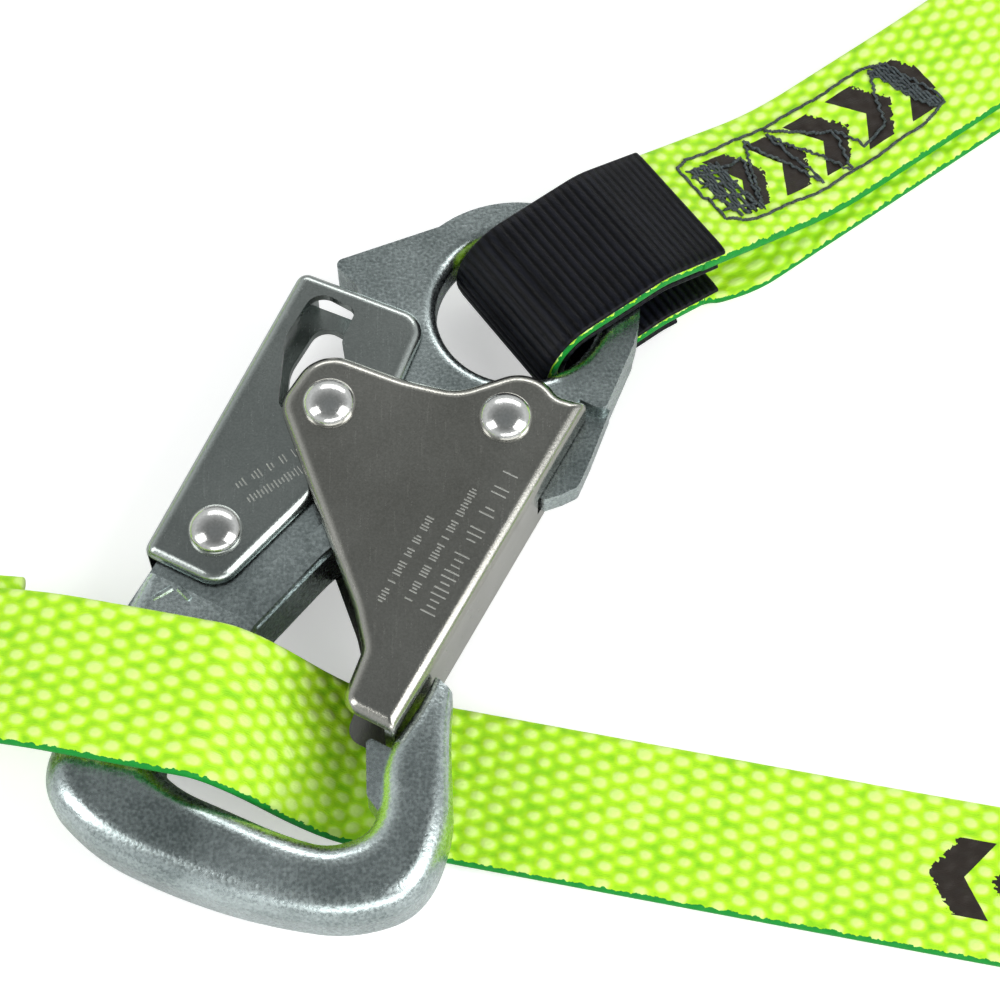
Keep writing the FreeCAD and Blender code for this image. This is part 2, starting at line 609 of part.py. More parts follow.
on_edge = FreeCAD.Placement(vector(0, 0, EDGE), FreeCAD.Rotation())
right_end, right_flat = on_strap(165.0), on_strap(120.0)
left_flat, left_end = on_strap(-118.0), on_strap(-163.0)
tie_corner = twist_to + leg_out * 46
tie_back = [
    (twist_to.x, twist_to.y), (tie_corner.x, tie_corner.y), (222.0, 128.0), (240.0, 60.0), (238.0, -15.0),
    (225.0, -75.0), (190.0, right_end.y - 11.3), (right_end.x, right_end.y),
]
band("webbing_tie_back_loop", tie_back, on_edge)
twist("webbing_twist_in", (right_end.x, right_end.y, EDGE), (right_flat.x, right_flat.y, FLAT), 90, 0)
band("webbing_floor_run", [(120.0, FLAT), (30.0, FLAT)], strap)
OVER_HOOK = PLANE + size["bowl_thickness"] / 2 + 0.6 + FLAT
crossing = [(30.0, FLAT), (4.6, FLAT, 10), (-10.8, OVER_HOOK, 10), (-42.0, OVER_HOOK - 0.4, 40)]
fall_start = between((-42.0, OVER_HOOK - 0.4), (-80.0, 9.0), -61.0)
band("webbing_through_throat", crossing + [fall_start], strap)
fall_middle, fall_foot = (-80.0, 9.0, 60), (-110.0, FLAT, 40)
band("webbing_left_run", [fall_start, fall_middle, fall_foot, (-118.0, FLAT)], strap)
# A doubler under the strap: its cut end shows past the strap's edge.
DOUBLER_SHIFT = 3.2
across_strap = UP.cross(strap_along) * DOUBLER_SHIFT
doubler_start = between((-42.0, OVER_HOOK - 0.4), fall_middle, -48.0)
doubler_line = [doubler_start, fall_middle, between(fall_middle, fall_foot, -100.0)]
doubler = upright(strap_zero.x + across_strap.x, strap_zero.y + across_strap.y, strap_heading)
band("webbing_doubler", offset_side(doubler_line, 2 * FLAT + 0.1), doubler)
twist("webbing_twist_down", (left_flat.x, left_flat.y, FLAT), (left_end.x, left_end.y, EDGE), 0, 90)

# The bend back to the shock absorber.
PACK_MIDDLE = size["absorber_height"] / 2
return_bend = [
    (left_end.x, left_end.y), (-232.0, -1.1), (-282.0, 45.0), (-296.0, 108.0), (-277.0, 174.0),
    (-234.0, PACK_Y), (PACK_LEFT - 45, PACK_Y),
]
band("webbing_return_bend", return_bend, on_edge)
twist("webbing_twist_up", (PACK_LEFT - 45, PACK_Y, EDGE), (PACK_LEFT - 3, PACK_Y, PACK_MIDDLE), 90, 0)
along_pack = upright(0, PACK_Y, 0)
band("webbing_pack_lead", [(PACK_LEFT - 3, PACK_MIDDLE), (PACK_LEFT + 30, PACK_MIDDLE)], along_pack)

# Harness leg: the same loop, from the absorber to the second hook's eye.
harness_eye = HARNESS.multVec(eye_middle)
harness_leg = upright(harness_eye.x, PACK_Y, 180)
pack_end = harness_eye.x - PACK_RIGHT
above, below = PACK_MIDDLE + FLAT + 0.05, PACK_MIDDLE - FLAT - 0.05
harness_top = [(pack_end + 30, above), (46.0, above, 30), (21.0, bend_top, 20)]
harness_bottom = [(22.0, bend_bottom, 12), (44.0, below, 30), (pack_end + 30, below)]
band("harness_leg", harness_top + EYE_BEND + harness_bottom, harness_leg, width="dimensions.webbing_width - 0.4")
harness_low = between((22.0, bend_bottom), (44.0, below), pad_far)
wear_pads(
    "harness",
    between((21.0, bend_top), (46.0, above), pad_far),
    harness_low,
    harness_low,
    harness_leg,
)

# ---------------------------------------------------------------- shock absorber

length, width, wall = size["absorber_length"], size["absorber_width"], size["cover_wall"]
pack_place = FreeCAD.Placement(vector(PACK_LEFT + length / 2, PACK_Y, PACK_MIDDLE), FreeCAD.Rotation())


def plan(half_length, half_width, radius):
    return rounded([
        (-half_length, -half_width, radius), (half_length, -half_width, radius),
        (half_length, half_width, radius), (-half_length, half_width, radius),
    ])


cover = new_body("absorber_cover_body")
shell = pad(cover, "cover_outside", plan(length / 2, width / 2, 7), "dimensions.absorber_height")
half_height = size["absorber_height"] / 2
fillet(cover, "cover_edges", shell, lambda edge: at_height(edge, half_height), "4")
inside_height = "dimensions.absorber_height - 2 * dimensions.cover_wall"
pocket(cover, "cover_inside", plan(length / 2 - wall - 1, width / 2 - wall, 6), inside_height)
slot_width = size["webbing_width"] / 2 + 0.5
pocket(cover, "cover_end_slots", plan(length, slot_width, 1), "2 * dimensions.webbing_thickness + 1.6")
keep(cover, "absorber_cover", pack_place)
# Tear webbing folded in three layers, and the backup strap folded under it.
tear = [
    (PACK_LEFT + 31, PACK_MIDDLE), (PACK_RIGHT - 38, PACK_MIDDLE), (PACK_RIGHT - 38, 18.2),
    (PACK_LEFT + 10, 18.2), (PACK_LEFT + 10, 22.4), (PACK_RIGHT - 10, 22.4),
]
band("absorber_tear_webbing", tear, along_pack)
backup = [
    (PACK_LEFT + 12, 8.4), (PACK_RIGHT - 14, 8.4), (PACK_RIGHT - 14, 3.6), (PACK_LEFT + 12, 3.6),
]
band("absorber_backup_strap", backup, along_pack)
label = new_body("absorber_label_body")
pad(label, "label_patch", plan(34, 13, 2), "0.5")
label_place = FreeCAD.Placement(vector(PACK_LEFT + 80, PACK_Y, size["absorber_height"] + 0.25), FreeCAD.Rotation())
keep(label, "absorber_label", label_place)

# ---------------------------------------------------------------- checks and export

doc.recompute()
SOFT = ("webbing_", "anchor_leg", "anchor_tail", "anchor_box_stitch")
box = FreeCAD.BoundBox()
for piece in PARTS:
    if not piece.Label.startswith(SOFT):
        box.add(piece.Shape.BoundBox)
shift = vector(-box.Center.x, -box.Center.y, -box.ZMin)
for piece in PARTS:
    piece.Placement = FreeCAD.Placement(shift, FreeCAD.Rotation()) * piece.Placement
doc.recompute()

problems = [f"{o.Name}: {o.State}" for o in doc.Objects if {"Invalid", "Error"} & set(o.State)]
os.makedirs("parts", exist_ok=True)
for piece in PARTS:
    shape = piece.Shape
    if shape.isNull() or not shape.isValid() or len(shape.Solids) != 1:
        problems.append(f"{piece.Label}: its shape is not one valid solid")
        continue
    shape.exportStep(f"parts/{piece.Label}.step")
if problems:
    raise RuntimeError("; ".join(problems))
names = [piece.Label for piece in PARTS]
if len(set(names)) != len(names):
    raise RuntimeError("two pieces share a name")


def told(name, point):
    moved = point + shift
    print(f"{name}: {moved.x:.2f} {moved.y:.2f} {moved.z:.2f}")


print(f"{len(PARTS)} pieces, shift {shift.x:.2f} {shift.y:.2f} {shift.z:.2f}")
lever_pivot = vector(size["lever_rivet_across"], size["lever_rivet_along"])
for prefix, place in (("anchor", ANCHOR), ("harness", HARNESS)):
    told(prefix + " gate pivot", place.multVec(vector(0, 0)))
    told(prefix + " lever pivot", place.multVec(lever_pivot))
    told(prefix + " eye centre", place.multVec(eye_middle))
print(f"webbing radius for a cord: {size['webbing_width'] / 2:.2f} mm")
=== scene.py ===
import json
import math
import random

import bmesh
import bpy
from mathutils import Matrix, Vector


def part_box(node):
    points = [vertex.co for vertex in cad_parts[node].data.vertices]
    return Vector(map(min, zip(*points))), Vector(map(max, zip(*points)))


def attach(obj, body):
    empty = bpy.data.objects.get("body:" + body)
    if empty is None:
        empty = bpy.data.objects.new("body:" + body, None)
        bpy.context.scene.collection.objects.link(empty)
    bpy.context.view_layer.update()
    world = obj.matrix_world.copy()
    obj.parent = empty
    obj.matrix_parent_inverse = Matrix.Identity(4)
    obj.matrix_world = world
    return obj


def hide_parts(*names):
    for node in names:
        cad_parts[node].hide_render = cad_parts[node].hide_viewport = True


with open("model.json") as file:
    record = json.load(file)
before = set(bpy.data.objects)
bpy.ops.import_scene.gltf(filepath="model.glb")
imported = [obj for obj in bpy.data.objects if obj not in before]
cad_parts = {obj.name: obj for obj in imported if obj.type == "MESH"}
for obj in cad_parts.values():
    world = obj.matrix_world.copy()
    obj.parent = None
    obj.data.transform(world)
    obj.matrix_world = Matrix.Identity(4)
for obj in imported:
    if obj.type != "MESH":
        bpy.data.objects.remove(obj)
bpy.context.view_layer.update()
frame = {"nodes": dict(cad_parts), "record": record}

MM = 0.001
UP = Vector((0, 0, 1))
joint_at = {joint["name"]: Vector(joint["pos_m"]) for joint in frame["record"]["behaviour"]["joints"]}

# The forgings of the two alike snap hooks: drop-forged alloy steel, shot-blasted and zinc plated,
# so they sparkle with fine grain. Each hook has its own flat frame, with its origin at the gate's
# pivot, +Y towards the eye and +X across to the nose.
HOOK_TURNS = {"anchor": -28.2, "harness": 90.0}
hook_frames = {
    hook: Matrix.Translation(joint_at[hook + "_gate_hinge"]) @ Matrix.Rotation(math.radians(degrees), 4, "Z")
    for hook, degrees in HOOK_TURNS.items()
}
hook_bodies = {
    "anchor": ("root", "anchor_gate_body", "anchor_lever_body"),
    "harness": ("harness_hook_unit", "harness_gate_body", "harness_lever_body"),
}


def node_tree(material):
    material.use_nodes = True
    tree = material.node_tree
    tree.nodes.clear()
    output = tree.nodes.new("ShaderNodeOutputMaterial")
    shader = tree.nodes.new("ShaderNodeBsdfPrincipled")
    tree.links.new(shader.outputs["BSDF"], output.inputs["Surface"])
    return tree, shader


def wire(tree, kind, values=None, **links):
    """Adds one node. values sets its fields, and links feeds its inputs by name or number."""
    node = tree.nodes.new(kind)
    for name, value in (values or {}).items():
        setattr(node, name, value)
    for name, source in links.items():
        socket = node.inputs[int(name[1:]) if name[0] == "_" else name]
        if isinstance(source, bpy.types.NodeSocket):
            tree.links.new(source, socket)
        else:
            socket.default_value = source
    return node


def maths(tree, operation, *values):
    """One maths node fed by sockets or numbers. Returns its output."""
    links = {f"_{i}": value for i, value in enumerate(values)}
    return wire(tree, "ShaderNodeMath", {"operation": operation}, **links).outputs[0]


def bumped(tree, shader, height, strength, distance):
    bump = wire(tree, "ShaderNodeBump", Height=height, Strength=strength, Distance=distance)
    tree.links.new(bump.outputs[0], shader.inputs["Normal"])


def group_of(name, inputs, outputs):
    """An empty node group. inputs is {name: default}, where None makes a vector socket."""
    tree = bpy.data.node_groups.new(name, "ShaderNodeTree")
    for label, default in inputs.items():
        kind = "NodeSocketVector" if default is None else "NodeSocketFloat"
        socket = tree.interface.new_socket(name=label, in_out="INPUT", socket_type=kind)
        if default is not None:
            socket.default_value = default
    for label in outputs:
        tree.interface.new_socket(name=label, in_out="OUTPUT", socket_type="NodeSocketFloat")
    return tree, tree.nodes.new("NodeGroupInput").outputs, tree.nodes.new("NodeGroupOutput").inputs


grain, given, told = group_of("plated_grain", {"Vector": None, "Grain Scale": 2400.0, "Cloud Scale": 60.0},
                              ("Pits", "Clouds", "Scuffs"))
pits = wire(grain, "ShaderNodeTexNoise", Vector=given["Vector"], Scale=given["Grain Scale"], Detail=3.0)
clouds = wire(grain, "ShaderNodeTexNoise", Vector=given["Vector"], Scale=given["Cloud Scale"], Detail=4.0)
scratch_lay = wire(grain, "ShaderNodeMapping", _0=given["Vector"], Scale=(2600.0, 160.0, 900.0))
scratches = wire(grain, "ShaderNodeTexNoise", Vector=scratch_lay.outputs[0], Scale=1.0, Detail=2.0)
scuffs = wire(grain, "ShaderNodeMapRange", _0=scratches.outputs["Fac"], _1=0.60, _2=0.72)
grain.links.new(pits.outputs["Fac"], told["Pits"])
grain.links.new(clouds.outputs["Fac"], told["Clouds"])
grain.links.new(scuffs.outputs[0], told["Scuffs"])


def steel(name, dark, light, roughness, spread, pit_depth, grain_scale):
    """Bare-looking plated steel: colour drifts between dark and light, with pits and faint scuffs."""
    material = bpy.data.materials.new(name)
    tree, shader = node_tree(material)
    place = tree.nodes.new("ShaderNodeTexCoord")
    marks = wire(tree, "ShaderNodeGroup", {"node_tree": grain}, Vector=place.outputs["Object"])
    marks.inputs["Grain Scale"].default_value = grain_scale
    tone = maths(tree, "MULTIPLY_ADD", marks.outputs["Pits"], 0.6, marks.outputs["Clouds"])
    spread_tone = wire(tree, "ShaderNodeMapRange", _0=tone, _1=0.55, _2=1.05)
    colour = wire(tree, "ShaderNodeMix", {"data_type": "RGBA"}, _0=spread_tone.outputs[0])
    colour.inputs[6].default_value = (*dark, 1)
    colour.inputs[7].default_value = (*light, 1)
    tree.links.new(colour.outputs[2], shader.inputs["Base Color"])
    shader.inputs["Metallic"].default_value = 1.0
    rough = maths(tree, "MULTIPLY_ADD", marks.outputs["Pits"], spread, roughness)
    rougher = maths(tree, "MULTIPLY_ADD", marks.outputs["Scuffs"], 0.06, rough)
    tree.links.new(rougher, shader.inputs["Roughness"])
    bumped(tree, shader, marks.outputs["Pits"], pit_depth, 0.00012)
    return material


def finish_node(name, material):
    for material_slot in frame["nodes"][name].material_slots:
        material_slot.material = material


forged_steel = steel("forged_steel", (0.23, 0.275, 0.27), (0.68, 0.76, 0.755), 0.17, 0.20, 0.38, 1900.0)
for hook in hook_frames:
    finish_node(hook + "_hook_body", forged_steel)

# The gate and the lock lever: steel sheet, blanked and folded, then bright plated and passivated.
gate_steel = steel("gate_sheet_steel", (0.31, 0.305, 0.275), (0.44, 0.435, 0.40), 0.17, 0.10, 0.14, 3200.0)
lever_steel = steel("lever_sheet_steel", (0.32, 0.35, 0.335), (0.45, 0.485, 0.465), 0.18, 0.10, 0.14, 3200.0)
spring_steel = steel("spring_wire", (0.30, 0.30, 0.30), (0.50, 0.50, 0.49), 0.25, 0.10, 0.05, 3000.0)
stamp_steel = steel("stamped_edge", (0.62, 0.62, 0.58), (0.85, 0.85, 0.80), 0.18, 0.08, 0.05, 3000.0)
for hook in hook_frames:
    finish_node(hook + "_gate", gate_steel)
    finish_node(hook + "_lock_lever", lever_steel)
    finish_node(hook + "_gate_spacer", spring_steel)
    finish_node(hook + "_gate_spring", spring_steel)
    finish_node(hook + "_lever_spring", spring_steel)


def new_piece(name, vertices, faces, material, body, smooth=True):
    """Makes a mesh object, gives it its material, and hangs it on its body."""
    mesh = bpy.data.meshes.new(name)
    mesh.from_pydata([tuple(v) for v in vertices], [], faces)
    shape = bmesh.new()
    shape.from_mesh(mesh)
    bmesh.ops.recalc_face_normals(shape, faces=shape.faces)
    shape.to_mesh(mesh)
    shape.free()
    piece = bpy.data.objects.new(name, mesh)
    bpy.context.scene.collection.objects.link(piece)
    mesh.materials.append(material)
    mesh.polygons.foreach_set("use_smooth", [smooth] * len(mesh.polygons))
    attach(piece, body)
    return piece


# Stamped marks on the gate and the lever: plain ticks in rows, whose rims stand slightly proud.
# Rows are (start, direction in degrees, length, height of the ticks) in the hook's own frame, mm.
GATE_FACE, LEVER_FACE = 8.2, 6.4
STAMP_ROWS = {
    "gate": (GATE_FACE, [((5.4, -8.5), -90, 27, 2.6), ((1.7, -13.5), -90, 22, 1.3),
                         ((-2.0, -21.0), -90, 16, 1.3)]),
    "lock_lever": (LEVER_FACE, [((-27.0, -20.5), -118, 11, 1.5), ((-24.6, -22.6), -118, 10, 1.5)]),
}
TICK_WIDTH, TICK_LIFT, TICK_SUNK = 0.26 * MM, 0.06 * MM, 0.02 * MM
BAR_WIDTH, BAR_LIFT = 1.1 * MM, 0.3 * MM


def above(node, spot):
    """The place on top of a part, straight over or under spot."""
    solid = frame["nodes"][node]
    back = solid.matrix_world.inverted()
    start = back @ Vector((spot.x, spot.y, 1.0))
    found, place, _, _ = solid.ray_cast(start, (back.to_3x3() @ Vector((0, 0, -1))).normalized())
    return solid.matrix_world @ place if found else spot


def tick(vertices, faces, middle, along, across, length, width, lift):
    """One low tick with sloping sides."""
    first = len(vertices)
    for height, shrink in ((-TICK_SUNK, 1.0), (lift, 0.45)):
        for i, j in ((-1, -1), (1, -1), (1, 1), (-1, 1)):
            spot = middle + along * (i * length / 2) + across * (j * width / 2 * shrink)
            vertices.append(spot + Vector((0, 0, height)))
    for i in range(4):
        j = (i + 1) % 4
        faces.append((first + i, first + j, first + 4 + j, first + 4 + i))
    faces.append((first + 4, first + 5, first + 6, first + 7))
    faces.append((first + 3, first + 2, first + 1, first))


# A raised forging mark on each spine: two plain bars with sloping sides.
for hook, place in hook_frames.items():
    vertices, faces = [], []
    for across_at, along_at, direction, bar_length in ((-32.6, -51.0, 62, 3.4), (-29.6, -49.4, -18, 2.6)):
        turn = math.radians(direction)
        heading = place.to_3x3() @ Vector((math.cos(turn), math.sin(turn), 0))
        base = above(f"{hook}_hook_body", place @ (Vector((across_at, along_at, 0)) * MM))
        tick(vertices, faces, base, heading, UP.cross(heading), bar_length * MM, BAR_WIDTH, BAR_LIFT)
    new_piece(f"{hook}_forging_mark", vertices, faces, forged_steel, hook_bodies[hook][0],
              smooth=False)

for hook, place in hook_frames.items():
    for piece_kind, (face_height, rows) in STAMP_ROWS.items():
        strike = random.Random(11)
        vertices, faces = [], []
        for start, direction, row_length, tick_height in rows:
            along = Vector((math.cos(math.radians(direction)), math.sin(math.radians(direction)), 0))
            across = Vector((-along.y, along.x, 0))
            reached = 0.0
            while reached < row_length:
                tall = tick_height * strike.choice((1.0, 1.0, 0.6))
                spot = Vector((*start, face_height)) + along * reached
                tick(vertices, faces, spot * MM, across, along, tall * MM, TICK_WIDTH, TICK_LIFT)
                reached += tick_height * strike.choice((0.42, 0.42, 0.42, 1.1))
        body = hook_bodies[hook][1 if piece_kind == "gate" else 2]
        new_piece(f"{hook}_{piece_kind}_stamping", [place @ v for v in vertices], faces, stamp_steel, body,
                  smooth=False)

# Rivets and lock pins: turned steel shanks through the sheets and the forging, with high domed
# heads that the riveting press leaves polished.
rivet_steel = steel("rivet_steel", (0.54, 0.54, 0.525), (0.74, 0.74, 0.72), 0.12, 0.08, 0.05, 2500.0)
SHANK, HEAD, HEAD_HEIGHT = 3.0 * MM, 4.3 * MM, 2.6 * MM
RIM_STEP = 0.18 * MM
GATE_GRIP, LEVER_GRIP = GATE_FACE * MM, LEVER_FACE * MM


def turned(profile, steps):
    """Spins (radius, height) points about Z. The first and last points lie on the axis."""
    vertices = [Vector((0, 0, profile[0][1]))]
    for radius, height in profile[1:-1]:
        for i in range(steps):
            angle = 2 * math.pi * i / steps
            vertices.append(Vector((radius * math.cos(angle), radius * math.sin(angle), height)))
    vertices.append(Vector((0, 0, profile[-1][1])))
    rings, faces = len(profile) - 2, []
    for i in range(steps):
        j = (i + 1) % steps
        faces.append((0, 1 + i, 1 + j))
        for ring in range(rings - 1):
            low, high = 1 + ring * steps, 1 + (ring + 1) * steps
            faces.append((low + i, high + i, high + j, low + j))
        faces.append((len(vertices) - 1, 1 + (rings - 1) * steps + j, 1 + (rings - 1) * steps + i))
    return vertices, faces


def rivet_profile(grip):
    """Half-round heads: a dome, a crisp rim, and the shank between."""
    dome = []
    for i in range(11):
        angle = math.radians(90 - 9 * i)
        height = RIM_STEP + (HEAD_HEIGHT - RIM_STEP) * math.sin(angle)
        dome.append((HEAD * math.cos(angle), grip + height))
    upper = dome + [(HEAD, grip), (SHANK, grip)]
    lower = [(radius, -height) for radius, height in reversed(upper)]
    return upper + lower


for hook, place in hook_frames.items():
    body, gate_body, _ = hook_bodies[hook]
    for name, across, along, grip, rides in (
        ("gate_rivet", 0.0, 0.0, GATE_GRIP, body),
        ("lock_pin", -25.9, -11.0, GATE_GRIP, gate_body),
        ("lever_rivet", -30.9, -38.0, LEVER_GRIP, body),
    ):
        vertices, faces = turned(rivet_profile(grip), 64)
        centre = Vector((across, along, 0)) * MM
        spots = [place @ (v + centre) for v in vertices]
        piece = new_piece(f"{hook}_{name}_turned", spots, faces, rivet_steel, rides)
        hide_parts(f"{hook}_{name}")


# Webbing: 25 mm polyester, woven in a coarse plain weave whose raised picks stand in staggered rows.
# It is lime yellow-green, and one selvage is bound with dark green yarn.
WIDTH, THICK = 25.0 * MM, 2.2 * MM
PICK, ROW = 6.0 * MM, 1.45 * MM
PICK_RISE = 0.20 * MM
SELVAGE_FADE = 1.2 * MM


def picks(along, across):
    """How high the weave stands, 0 to 1."""
    turn = 2 * math.pi * along / PICK
    crossing = math.cos(turn) * math.cos(math.pi * across / ROW)
    return (0.5 + 0.36 * crossing + 0.14 * math.cos(2 * turn)) ** 1.3


def strap_piece(name, middles, acrosses, width, thick, relief, rise, material, body, spacing):
    """A woven strip with rounded selvages. Its lay attribute holds (along, across, 0) in metres."""
    half, edge = width / 2, thick / 2
    inner = half - edge
    count = max(4, round(2 * inner / spacing))
    section = [(-inner + 2 * inner * i / count, edge, 0.0) for i in range(count + 1)]
    for i in range(1, 6):
        turn = math.radians(90 - 30 * i)
        section.append((inner + edge * math.cos(turn), edge * math.sin(turn), 1.0))
    section += [(inner - 2 * inner * i / count, -edge, 0.0) for i in range(count + 1)]
    for i in range(1, 6):
        turn = math.radians(-90 - 30 * i)
        section.append((-inner + edge * math.cos(turn), edge * math.sin(turn), 1.0))
    vertices, lay, faces = [], [], []
    reached, size = 0.0, len(section)
    for i, middle in enumerate(middles):
        before, after = middles[max(i - 1, 0)], middles[min(i + 1, len(middles) - 1)]
        tangent = (after - before).normalized()
        across = (acrosses[i] - tangent * acrosses[i].dot(tangent)).normalized()
        normal = tangent.cross(across)
        if i:
            reached += (middle - middles[i - 1]).length
        for side, height, rim in section:
            fade = min(1.0, (half - abs(side)) / SELVAGE_FADE)
            lift = 0.0 if rim else rise * relief(reached, side) * fade
            up = math.copysign(lift, height)
            vertices.append(middle + across * side + normal * (height + up))
            lay.append((reached, side, 0.0))
    for ring in range(len(middles) - 1):
        low, high = ring * size, (ring + 1) * size
        for i in range(size):
            j = (i + 1) % size
            faces.append((low + i, low + j, high + j, high + i))
    faces.append(tuple(range(size)))
    faces.append(tuple(range(len(vertices) - 1, len(vertices) - 1 - size, -1)))
    piece = new_piece(name, vertices, faces, material, body)
    stored = piece.data.attributes.new("lay", "FLOAT_VECTOR", "POINT")
    stored.data.foreach_set("vector", [number for spot in lay for number in spot])
    return piece


weave, given, told = group_of("webbing_weave", {"Lay": None, "Pick Length": PICK, "Row Width": ROW},
                              ("Height", "Mottle", "Yarn"))
split = wire(weave, "ShaderNodeSeparateXYZ", _0=given["Lay"])
turns = maths(weave, "DIVIDE", split.outputs[0], given["Pick Length"])
around = maths(weave, "MULTIPLY", turns, 2 * math.pi)
along_wave = maths(weave, "COSINE", around)
rows = maths(weave, "DIVIDE", split.outputs[1], given["Row Width"])
rows_around = maths(weave, "MULTIPLY", rows, math.pi)
across_wave = maths(weave, "COSINE", rows_around)
crossing = maths(weave, "MULTIPLY", along_wave, across_wave)
twice_around = maths(weave, "MULTIPLY", around, 2.0)
half_wave = maths(weave, "COSINE", twice_around)
both_waves = maths(weave, "MULTIPLY_ADD", half_wave, 0.38, crossing)
uneven = wire(weave, "ShaderNodeTexNoise", Vector=given["Lay"], Scale=300.0, Detail=4.0)
wobble = maths(weave, "MULTIPLY_ADD", uneven.outputs["Fac"], 2.2, -1.1)
crossing_wobble = maths(weave, "ADD", both_waves, wobble)
height = wire(weave, "ShaderNodeMapRange", _0=crossing_wobble, _1=-1.0, _2=1.3)
yarn_lay = wire(weave, "ShaderNodeMapping", _0=given["Lay"], Scale=(1200.0, 5200.0, 1.0))
yarn = wire(weave, "ShaderNodeTexNoise", Vector=yarn_lay.outputs[0], Scale=1.0, Detail=2.0)
mottle = wire(weave, "ShaderNodeTexNoise", Vector=given["Lay"], Scale=45.0, Detail=3.0)
weave.links.new(height.outputs[0], told["Height"])
weave.links.new(mottle.outputs["Fac"], told["Mottle"])
weave.links.new(yarn.outputs["Fac"], told["Yarn"])

# Printed marks: a row of plain chevrons between two places along the strap. No lettering.
chevrons, given, told = group_of("chevron_print", {"Lay": None, "Start": 0.0, "End": 0.0}, ("Ink",))
split = wire(chevrons, "ShaderNodeSeparateXYZ", _0=given["Lay"])
off_middle = maths(chevrons, "ABSOLUTE", split.outputs[1])
slanted = maths(chevrons, "MULTIPLY_ADD", off_middle, 0.7, split.outputs[0])
spaced = maths(chevrons, "DIVIDE", slanted, 0.0098)
within = maths(chevrons, "FRACT", spaced)
ragged = wire(chevrons, "ShaderNodeTexNoise", Vector=given["Lay"], Scale=1300.0, Detail=2.0)
frayed = maths(chevrons, "MULTIPLY_ADD", ragged.outputs["Fac"], 0.30, within)
bars = maths(chevrons, "LESS_THAN", frayed, 0.72)
height_limit = maths(chevrons, "LESS_THAN", off_middle, 0.0062)
after_start = maths(chevrons, "GREATER_THAN", split.outputs[0], given["Start"])
before_end = maths(chevrons, "LESS_THAN", split.outputs[0], given["End"])
ink = bars
for limit in (height_limit, after_start, before_end):
    ink = maths(chevrons, "MULTIPLY", ink, limit)
chevrons.links.new(ink, told["Ink"])


def ramp(tree, source, first, last, *between):
    """A colour ramp through (position, red, green, blue) stops. Returns its colour output."""
    node = wire(tree, "ShaderNodeValToRGB", _0=source)
    elements = node.color_ramp.elements
    for element, stop in ((elements[0], first), (elements[1], last)):
        element.position, element.color = stop[0], (*stop[1:], 1)
    for stop in between:
        elements.new(stop[0]).color = (*stop[1:], 1)
    return node.outputs[0]


def webbing_material(name, prints):
    """Lime webbing. prints is a list of (start, end) along the strap where chevrons are printed."""
    material = bpy.data.materials.new(name)
    tree, shader = node_tree(material)
    lay = wire(tree, "ShaderNodeAttribute", {"attribute_name": "lay"}).outputs["Vector"]
    woven = wire(tree, "ShaderNodeGroup", {"node_tree": weave}, Lay=lay)
    # The colour follows the weave's height: the raised picks are painted paler as a painted highlight, and
    # the low places between them are painted darker as painted shade. The mottle is the yarn's own uneven
    # tone.
    tone = maths(tree, "MULTIPLY_ADD", woven.outputs["Mottle"], 0.5, woven.outputs["Height"])
    lime_with_painted_weave_light = ramp(tree, tone, (0.22, 0.26, 0.68, 0.003), (1.2, 0.72, 1.0, 0.24), (0.62, 0.52, 0.90, 0.016))
    side = wire(tree, "ShaderNodeSeparateXYZ", _0=lay)
    ragged = wire(tree, "ShaderNodeTexNoise", Vector=lay, Scale=900.0, Detail=2.0)
    ragged_side = maths(tree, "MULTIPLY_ADD", ragged.outputs["Fac"], 0.0010, side.outputs[1])
    selvage = maths(tree, "LESS_THAN", ragged_side, -0.0115)
    bound = wire(tree, "ShaderNodeMix", {"data_type": "RGBA"}, _0=selvage, _6=lime_with_painted_weave_light)
    bound.inputs[7].default_value = (0.0, 0.27, 0.025, 1)
    colour = bound.outputs[2]
    for start, end in prints:
        printed = wire(tree, "ShaderNodeGroup", {"node_tree": chevrons}, Lay=lay, Start=start, End=end)
        inked = wire(tree, "ShaderNodeMix", {"data_type": "RGBA"}, _0=printed.outputs["Ink"], _6=colour)
        inked.inputs[7].default_value = (0.018, 0.012, 0.008, 1)
        colour = inked.outputs[2]
    tree.links.new(colour, shader.inputs["Base Color"])
    shader.inputs["Roughness"].default_value = 0.55
    shader.inputs["Sheen Weight"].default_value = 0.04
    shader.inputs["Specular IOR Level"].default_value = 0.3
    relief = maths(tree, "MULTIPLY_ADD", woven.outputs["Yarn"], 0.35, woven.outputs["Height"])
    bumped(tree, shader, relief, 0.8, 0.0004)
    return material


def bent_line(points, step):
    """(x, y, radius) corners as points about a step apart, with round corners."""
    corners = [Vector(point[:2]) for point in points]
    trail = [corners[0]]
    for i in range(1, len(corners) - 1):
        back = (corners[i - 1] - corners[i]).normalized()
        on = (corners[i + 1] - corners[i]).normalized()
        radius = points[i][2]
        half = back.angle(on) / 2
        reach = radius / math.tan(half)
        centre = corners[i] + (back + on).normalized() * (radius / math.sin(half))
        first = corners[i] + back * reach - centre
        sweep = (corners[i] + on * reach - centre).angle_signed(first)
        parts = max(2, round(abs(sweep) * radius / step))
        for k in range(parts + 1):
            angle = sweep * k / parts
            cosine, sine = math.cos(angle), math.sin(angle)
            turned_spoke = Vector((first.x * cosine - first.y * sine, first.x * sine + first.y * cosine))
            trail.append(centre + turned_spoke)
    trail.append(corners[-1])
    return even(trail, step)


def even(trail, step):
    """The same line with its points a step apart."""
    lengths = [0.0]
    for a, b in zip(trail, trail[1:]):
        lengths.append(lengths[-1] + (b - a).length)
    count = max(2, round(lengths[-1] / step))
    spaced, k = [], 0
    for i in range(count + 1):
        wanted = lengths[-1] * i / count
        while k < len(trail) - 2 and lengths[k + 1] < wanted:
            k += 1
        run = lengths[k + 1] - lengths[k]
        spaced.append(trail[k].lerp(trail[k + 1], (wanted - lengths[k]) / run if run else 0.0))
    return spaced


